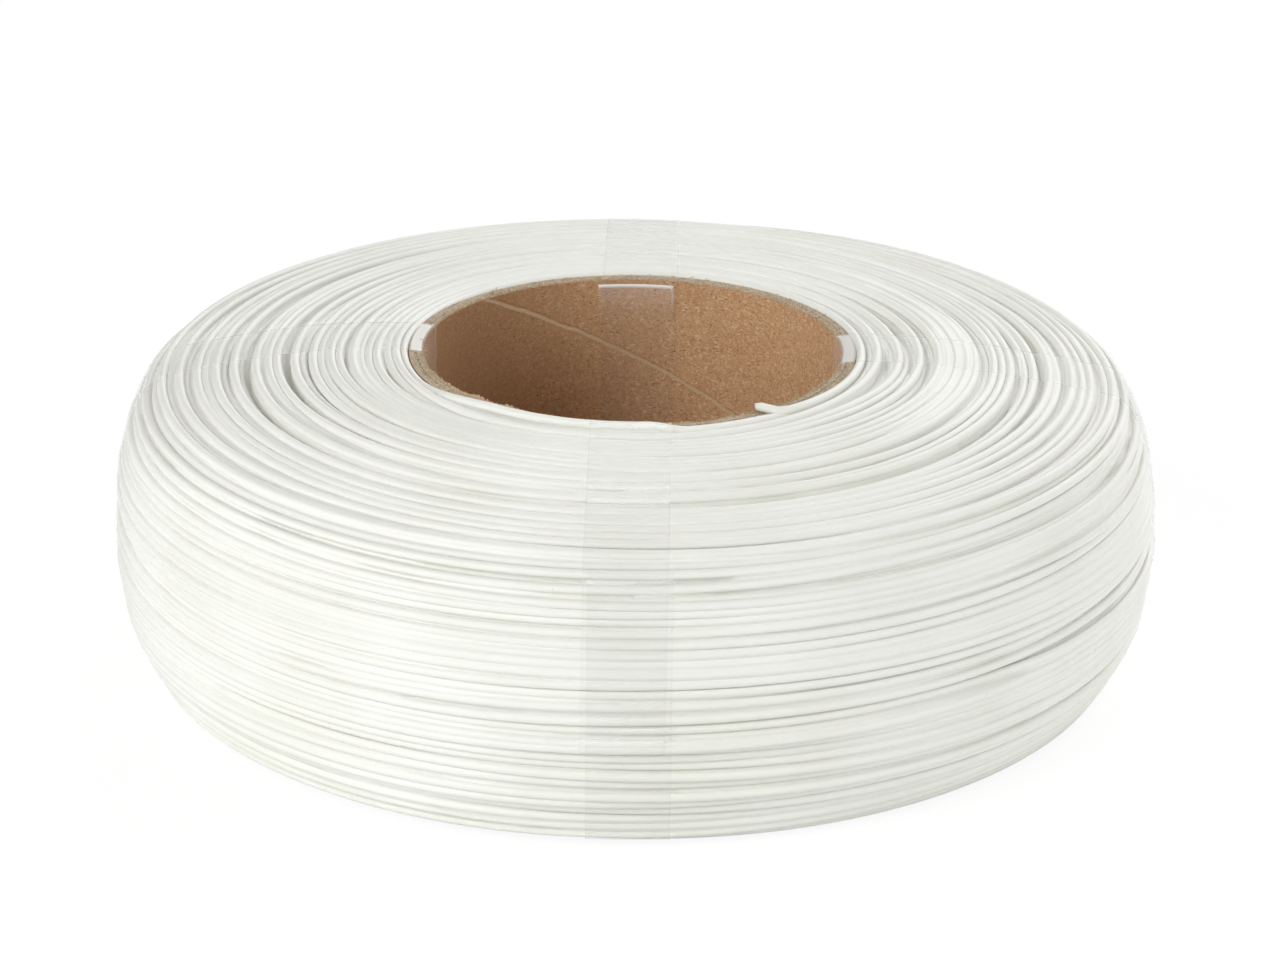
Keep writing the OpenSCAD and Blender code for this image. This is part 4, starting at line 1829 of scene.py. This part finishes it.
@dataclass
class TapeBand:
    """One clear band, drawn taut through the bore and round the coil, with lapped ends."""

    name: str
    node: str
    azimuth: float
    lap: Lap
    # How far the band has strayed sideways at shares of its way round
    drift: tuple[tuple[float, float], ...]
    winder: Winder
    width: float = 15.0
    thick: float = 0.07
    clear: float = 0.02
    # Points across, and spacing of the stations along
    across: int = 21
    step: float = 0.45
    # Where it runs in the bore and over the rims, and how it rounds them
    bore_r: float = 39.93
    rim_z: float = 59.3
    foot_z: float = 0.5
    rim_turn: tuple[tuple[float, float], ...] = ((0.0, -0.5), (0.05, -0.1), (0.3, 0.02))
    foot_turn: tuple[tuple[float, float], ...] = ((0.3, 0.0), (0.0, 0.3))
    bore_inset: float = 2.0
    bore_points: int = 24
    bore_slack: float = 0.35
    # Heights at which the ends lie, the first and the last, on the wall or in the bore
    wall_ends: tuple[float, float] = (52.5, 21.2)
    bore_ends: tuple[float, float] = (24.0, 58.6)
    lap_blend: int = 4
    # How far below the line a strand may still hold the film up
    reach_down: float = 6.0
    deepest: float = 3.0
    # How the film bridges grooves: passes, its stretch in a pass, and the passes that smooth it
    taut_steps: int = 90
    sag: float = 0.0009
    smooth_steps: int = 4
    # Gap at which the film starts to look milky, and the gap over which it becomes so
    stuck: float = 1.15
    unstuck: float = 1.5
    # Milkiness near the bore's rim and its reach: haze where the film bridges onto the rim, scaled as painted
    # sheen
    rim_haze_and_sheen: float = 1.4
    rim_reach: float = 1.0
    # The free end in the bore: its curl, its haze, and painted highlights along its rim and its right edge,
    # drawn as milky white film
    end_curl: float = 0.35
    end_curl_reach: float = 0.9
    end_haze: float = 0.6
    end_haze_reach: float = 6.0
    end_painted_glint: float = 2.8
    end_painted_glint_reach: float = 0.55
    end_side_painted_glint: float = 2.4
    creases: tuple[Crease, ...] = ()

    def outline(self) -> Array:
        """Draw the closed section that the tape runs round.

        Returns:
            Radius and height of each point, from the bore's rim outwards.
        """
        points = [(self.bore_r + out, self.rim_z + up) for out, up in self.rim_turn]
        points += [tuple(p) for p in self.winder.form.section()]
        points += [(self.bore_r + out, self.foot_z + up) for out, up in self.foot_turn]
        low, high = self.foot_z + self.bore_inset, self.rim_z - self.bore_inset
        points += [(self.bore_r, z) for z in np.linspace(low, high, self.bore_points)]
        return even_out(np.array(points), self.step)

    def relief(self, line: Array, normal: Array, tangent: Array,
               offsets: Array) -> tuple[Array, Array]:
        """Height of the taut film above the section line, for each station and each place across the tape.

        Args:
            line: the closed section line.
            normal: outward normals of the line.
            tangent: tangents of the line.
            offsets: lateral positions across the tape, one row for each station.

        Returns:
            Height of the film's underside above the line, and its share of lift off what it spans, with
            painted sheen near the bore's rim and, for a band lapped in the bore, painted highlights at its
            end added.
        """
        a = self.winder.form.strand_r + self.clear
        high = np.full(offsets.shape, -self.deepest)
        middle = math.radians(self.azimuth)
        in_bore = line[:, 0] < self.bore_r + self.bore_slack
        high[in_bore] = 0.0
        for i in np.flatnonzero(~in_bore):
            radius, level = line[i]
            for j, offset in enumerate(offsets[i]):
                r, z = self.winder.section(middle + math.asin(offset / radius))
                away = np.stack([r - radius, z - level], axis=1)
                along, out = away @ tangent[i], away @ normal[i]
                near = (np.abs(along) < a) & (out > -self.reach_down)
                if near.any():
                    high[i, j] = float(np.max(out[near] + np.sqrt(a * a - along[near] ** 2)))
        film = self.draw_taut(high, in_bore)
        lift = np.clip((film - high - self.stuck) / self.unstuck, 0.0, 1.0)
        lift[in_bore] = 0.0
        # Partly haze, partly painted sheen: the film's milkiness within a reach of the bore's rim is scaled
        lift[line[:, 0] < self.winder.form.inner_r + self.rim_reach] *= self.rim_haze_and_sheen
        if self.lap is Lap.BORE:
            self.curl_end(film, lift)
        return film, lift

    def curl_end(self, film: Array, lift: Array) -> None:
        """Let the last end inside the bore curl off the wall, and paint highlights along its rim and right
        edge as milky white film.

        Args:
            film: height of the film's underside, changed in place.
            lift: the film's share of lift, changed in place.
        """
        back = (len(film) - 1 - np.arange(len(film)))[:, None] * self.step
        film += self.end_curl * np.exp(-(back / self.end_curl_reach) ** 2)
        haze = self.end_haze * np.exp(-(back / self.end_haze_reach) ** 2)
        # Painted highlight: the rim and the right edge are made milky white to stand for their glint
        lift += haze + self.end_painted_glint * np.exp(-(back / self.end_painted_glint_reach) ** 2)
        lift[:, :1] += self.end_side_painted_glint * haze

    def draw_taut(self, high: Array, in_bore: Array) -> Array:
        """Bridge the grooves between strands as a taut film does.

        Args:
            high: height of what lies under each point of the film.
            in_bore: whether each station lies on the bore's wall.

        Returns:
            Height of the film.
        """
        film = high.copy()
        for _ in range(self.taut_steps):
            around = 0.5 * (np.roll(film, 1, axis=0) + np.roll(film, -1, axis=0))
            film = np.maximum(high, around - self.sag)
            film[in_bore] = np.maximum(high[in_bore], 0.0)
        for _ in range(self.smooth_steps):
            film = 0.5 * film + 0.25 * (np.roll(film, 1, axis=0) + np.roll(film, -1, axis=0))
            middle = film.copy()
            middle[:, 1:-1] = 0.5 * film[:, 1:-1] + 0.25 * (film[:, :-2] + film[:, 2:])
            film = np.maximum(middle, high)
        return film

    def wrinkle(self, height: Array, travel: Array, spread: Array) -> Array:
        """Raise the film along its creases.

        Args:
            height: height of the film without them.
            travel: share of the way round at each station.
            spread: place across the band of each point.

        Returns:
            Height of the film with them.
        """
        for crease in self.creases:
            along = (travel - crease.where) * len(travel) * self.step
            off = spread[None, :] - crease.level
            ridge = np.exp(-(along[:, None] + crease.slope * off) ** 2 / crease.sharpness)
            height = height + crease.height * ridge * np.exp(-(off / crease.reach) ** 2)
        return height

    def build(self, film: Material, edge: Material) -> Object:
        """Build the band as a film with a cut edge, and with lapped, laterally shifted ends.

        Args:
            film: the film's material.
            edge: the cut edge's material.

        Returns:
            The finished piece.
        """
        line = self.outline()
        count = len(line)
        tangent, normal = frames(line)
        start, stop = self.run(line)
        index = np.arange(start, stop)
        travel = (index - start) / (len(index) - 1)
        shift = np.interp(travel, [d[0] for d in self.drift], [d[1] for d in self.drift])
        spread = np.linspace(-self.width / 2, self.width / 2, self.across)
        offsets = shift[:, None] + spread[None, :]
        at = index % count
        height, lift = self.relief(line[at], normal[at], tangent[at], offsets)
        second = np.pad((index >= start + count).astype(float), self.lap_blend, mode="edge")
        blend = 2 * self.lap_blend + 1
        lapped = np.convolve(second, np.ones(blend) / blend, mode="valid")
        height = self.wrinkle(height + lapped[:, None] * (self.thick + self.clear), travel, spread)
        under = self.place(line[at], normal[at], offsets, height)
        upper = self.place(line[at], normal[at], offsets, height + self.thick)
        rows, columns = offsets.shape
        loop = [(i, 0) for i in range(rows)]
        loop += [(rows - 1, j) for j in range(1, columns)]
        loop += [(i, columns - 1) for i in range(rows - 2, -1, -1)]
        loop += [(0, j) for j in range(columns - 2, 0, -1)]
        rim = [i * columns + j for i, j in loop]
        base, size = rows * columns, len(rim)
        points = np.vstack([upper.reshape(-1, 3), under.reshape(-1, 3)[rim]])
        faces = [f[::-1] for f in grid_faces(rows, columns)]
        flat = len(faces)
        faces += [(base + k, base + (k + 1) % size, rim[(k + 1) % size], rim[k]) for k in range(size)]
        piece = smooth(mesh_object(self.name, points, faces))
        piece.data.materials.append(film)
        piece.data.materials.append(edge)
        for face in piece.data.polygons[flat:]:
            face.material_index = 1
            face.use_smooth = False
        mark = piece.data.attributes.new("lift", "FLOAT", "POINT")
        mark.data.foreach_set("value", np.concatenate([lift.ravel(), lift.ravel()[rim]]))
        return own(piece, "clear_tape", self.node)

    def run(self, line: Array) -> tuple[int, int]:
        """Find where the tape's ends lie.

        Args:
            line: the closed section line.

        Returns:
            First and last station of the tape along the line, the last beyond one whole turn.
        """
        on_wall = self.lap is Lap.OUTER_WALL
        here = line[:, 0] > self.winder.form.edge_r if on_wall else line[:, 0] < self.bore_r + self.clear
        stations = np.flatnonzero(here)
        first, last = (int(stations[np.argmin(np.abs(line[stations, 1] - end))])
                       for end in (self.wall_ends if on_wall else self.bore_ends))
        turns = 1 if on_wall or last > first else 2
        return first, last + turns * len(line)

    def place(self, line: Array, normal: Array, offsets: Array, height: Array) -> Array:
        """Place the film in space.

        Args:
            line: the section line at each station.
            normal: its outward normals.
            offsets: lateral positions across the tape.
            height: heights above the line.

        Returns:
            The points in millimetres.
        """
        radius = line[:, None, 0] + normal[:, None, 0] * height
        level = line[:, None, 1] + normal[:, None, 1] * height
        forward = np.sqrt(np.maximum(radius ** 2 - offsets ** 2, 0.0))
        angle = math.radians(self.azimuth)
        x = forward * math.sin(angle) + offsets * math.cos(angle)
        y = forward * -math.cos(angle) + offsets * math.sin(angle)
        return np.stack([x, y, level], axis=-1)


# ---------------------------------------------------------------- studio


@dataclass(frozen=True)
class Lamp:
    """One square soft lamp: its place and side in metres, its power in watts and its linear colour."""

    name: str
    place: tuple[float, float, float]
    size: float
    watts: float
    colour: tuple[float, float, float]


LAMPS = (
    Lamp("key", (-0.95, -1.55, 0.78), 1.2, 8.8, (1.0, 1.0, 0.99)),
    Lamp("left", (-1.1, -1.0, 1.1), 0.9, 11.6, (1.0, 1.0, 0.99)),
    Lamp("low_left", (-1.4, -1.0, 0.5), 0.9, 5.0, (1.0, 1.0, 0.99)),
    Lamp("right", (1.6, -0.35, 0.52), 0.9, 11.2, (1.0, 1.0, 0.995)),
    Lamp("back", (0.7, 1.37, 1.0), 1.8, 22.0, (1.0, 1.0, 1.0)),
)


@dataclass
class Studio:
    """Plain pale floor, soft light from the front left and the camera."""

    # The camera: its distance in millimetres, its elevation and roll in degrees, and what it looks at
    distance: float = 860.0
    elevation: float = 21.98
    roll: float = 0.61
    aim_z: float = 32.1
    aim_x: float = 0.8
    # Focal length and sensor width in millimetres, sideways shift in picture widths, and range in metres
    lens: float = 124.9
    sensor: float = 36.0
    shift: float = 0.00375
    clip: tuple[float, float] = (0.05, 20.0)
    # The floor: its half width, how much of the camera's view is plain glow, and how strong the glow is
    floor_half: float = 4000.0
    floor_share: float = 0.84
    floor_glow: float = 1.055
    floor_tone: str = "f5f6f5"
    floor_roughness: float = 0.95
    fill_colour: tuple[float, float, float, float] = (0.99, 1.0, 1.0, 1.0)
    fill_strength: float = 0.22
    lamp_aim_z: float = 30.0

    def camera(self) -> None:
        """Create the camera and make it the scene's."""
        data = bpy.data.cameras.new("camera")
        data.lens = self.lens
        data.sensor_width = self.sensor
        data.shift_x = self.shift
        data.clip_start, data.clip_end = self.clip
        eye = bpy.data.objects.new("camera", data)
        bpy.context.scene.collection.objects.link(eye)
        lift = math.radians(self.elevation)
        aim = Vector((self.aim_x, 0.0, self.aim_z)) * MM
        back = Vector((0.0, -math.cos(lift), math.sin(lift))) * self.distance * MM
        turn = (-back).to_track_quat("-Z", "Y").to_matrix().to_4x4()
        tilt = Matrix.Rotation(math.radians(self.roll), 4, "Z")
        eye.matrix_world = Matrix.Translation(aim + back) @ turn @ tilt
        bpy.context.scene.camera = eye

    def floor(self) -> None:
        """Lay the floor, which shows pale to the camera and keeps the object's shadow."""
        half = self.floor_half
        corner = np.array([(-half, -half, 0), (half, -half, 0), (half, half, 0), (-half, half, 0)])
        ground = mesh_object("floor", corner, [(0, 1, 2, 3)])
        s = ShaderTree("pale_floor")
        s.dress({"Base Color": linear(self.floor_tone), "Roughness": self.floor_roughness,
                 "Specular IOR Level": 0.0})
        glow = s.out("Emission", {"Color": WHITE, "Strength": self.floor_glow})
        rays = s.add("LightPath").outputs
        seen = s.out("Math", {"operation": "MAXIMUM",
                              0: rays["Is Camera Ray"], 1: rays["Is Transmission Ray"]})
        share = s.out("Math", {**TIMES, 0: seen, 1: self.floor_share})
        both = s.out("MixShader", {0: share, 1: s.shader.outputs[0], 2: glow})
        put(s.tree, s.output, {"Surface": both})
        ground.data.materials.append(s.material)

    def world(self) -> None:
        """Fill the surroundings with an even pale light."""
        sky = bpy.data.worlds.new("studio")
        sky.use_nodes = True
        tree = sky.node_tree
        tree.nodes.clear()
        rays = add_node(tree, "ShaderNodeLightPath").outputs
        fill = add_node(tree, "ShaderNodeBackground",
                        {"Color": self.fill_colour, "Strength": self.fill_strength})
        seen = add_node(tree, "ShaderNodeBackground", {"Color": WHITE, "Strength": 1.0})
        both = add_node(tree, "ShaderNodeMixShader",
                        {0: rays["Is Camera Ray"], 1: fill.outputs[0], 2: seen.outputs[0]})
        add_node(tree, "ShaderNodeOutputWorld", {0: both.outputs[0]})
        bpy.context.scene.world = sky

    def lamp(self, lamp: Lamp) -> None:
        """Hang one square soft lamp that faces the coil.

        Args:
            lamp: its place, size, power and colour.
        """
        data = bpy.data.lights.new(lamp.name, "AREA")
        data.size = lamp.size
        data.energy = lamp.watts
        data.color = lamp.colour
        made = bpy.data.objects.new(lamp.name, data)
        bpy.context.scene.collection.objects.link(made)
        spot = Vector(lamp.place)
        facing = (Vector((0.0, 0.0, self.lamp_aim_z * MM)) - spot).to_track_quat("-Z", "Y")
        made.matrix_world = Matrix.Translation(spot) @ facing.to_matrix().to_4x4()

    def build(self) -> None:
        """Set camera, floor, world, lamps and the view transform."""
        self.camera()
        self.floor()
        self.world()
        for lamp in LAMPS:
            self.lamp(lamp)
        bpy.context.scene.view_settings.view_transform = "Standard"


# ---------------------------------------------------------------- main


def bands(winder: Winder) -> list[TapeBand]:
    """List the four bands with their places and how far each drifts sideways on its way round.

    Args:
        winder: the wound coil that they go round.

    Returns:
        The bands, front, right, rear and left.
    """
    return [
        TapeBand("band_front", "tape_front", 0.0, Lap.OUTER_WALL,
                 ((0.0, 0.15), (0.45, 0.0), (0.62, 0.0), (0.86, -0.6), (1.0, -1.05)), winder,
                 creases=(Crease(0.925, 1.0, 4.5, 0.05), Crease(0.90, -3.0, 3.0, 0.04))),
        TapeBand("band_right", "tape_right", 90.0, Lap.OUTER_WALL,
                 ((0.0, -1.5), (0.45, 0.5), (0.62, 0.9), (0.74, -0.9), (0.86, -4.6), (1.0, -5.2)), winder),
        TapeBand("band_rear", "tape_rear", 180.0, Lap.BORE,
                 ((0.0, -1.0), (0.3, -2.0), (0.5, -3.1), (0.78, -3.1), (0.9, -0.9), (1.0, -0.6)), winder,
                 rim_haze_and_sheen=0.15),
        TapeBand("band_left", "tape_left", 270.0, Lap.OUTER_WALL,
                 ((0.0, 0.6), (0.45, -3.0), (0.62, -4.25), (0.74, -4.4), (0.86, 0.2), (1.0, 3.0)), winder),
    ]


def main() -> None:
    """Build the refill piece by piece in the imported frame."""
    logging.basicConfig(level=logging.INFO, format="%(message)s")
    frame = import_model()
    Studio().build()
    winder = Winder(CoilForm())
    winder.wind()
    strand = StrandFinish().make()
    FilamentCoil(winder).build(strand)
    InnerEnd(winder).build(strand)
    CardboardCore().build(frame["nodes"])
    film, edge = TapeFinish().make(), TapeEdgeHighlightFinish().make()
    for band in bands(winder):
        band.build(film, edge)


if __name__ == "__main__":
    main()
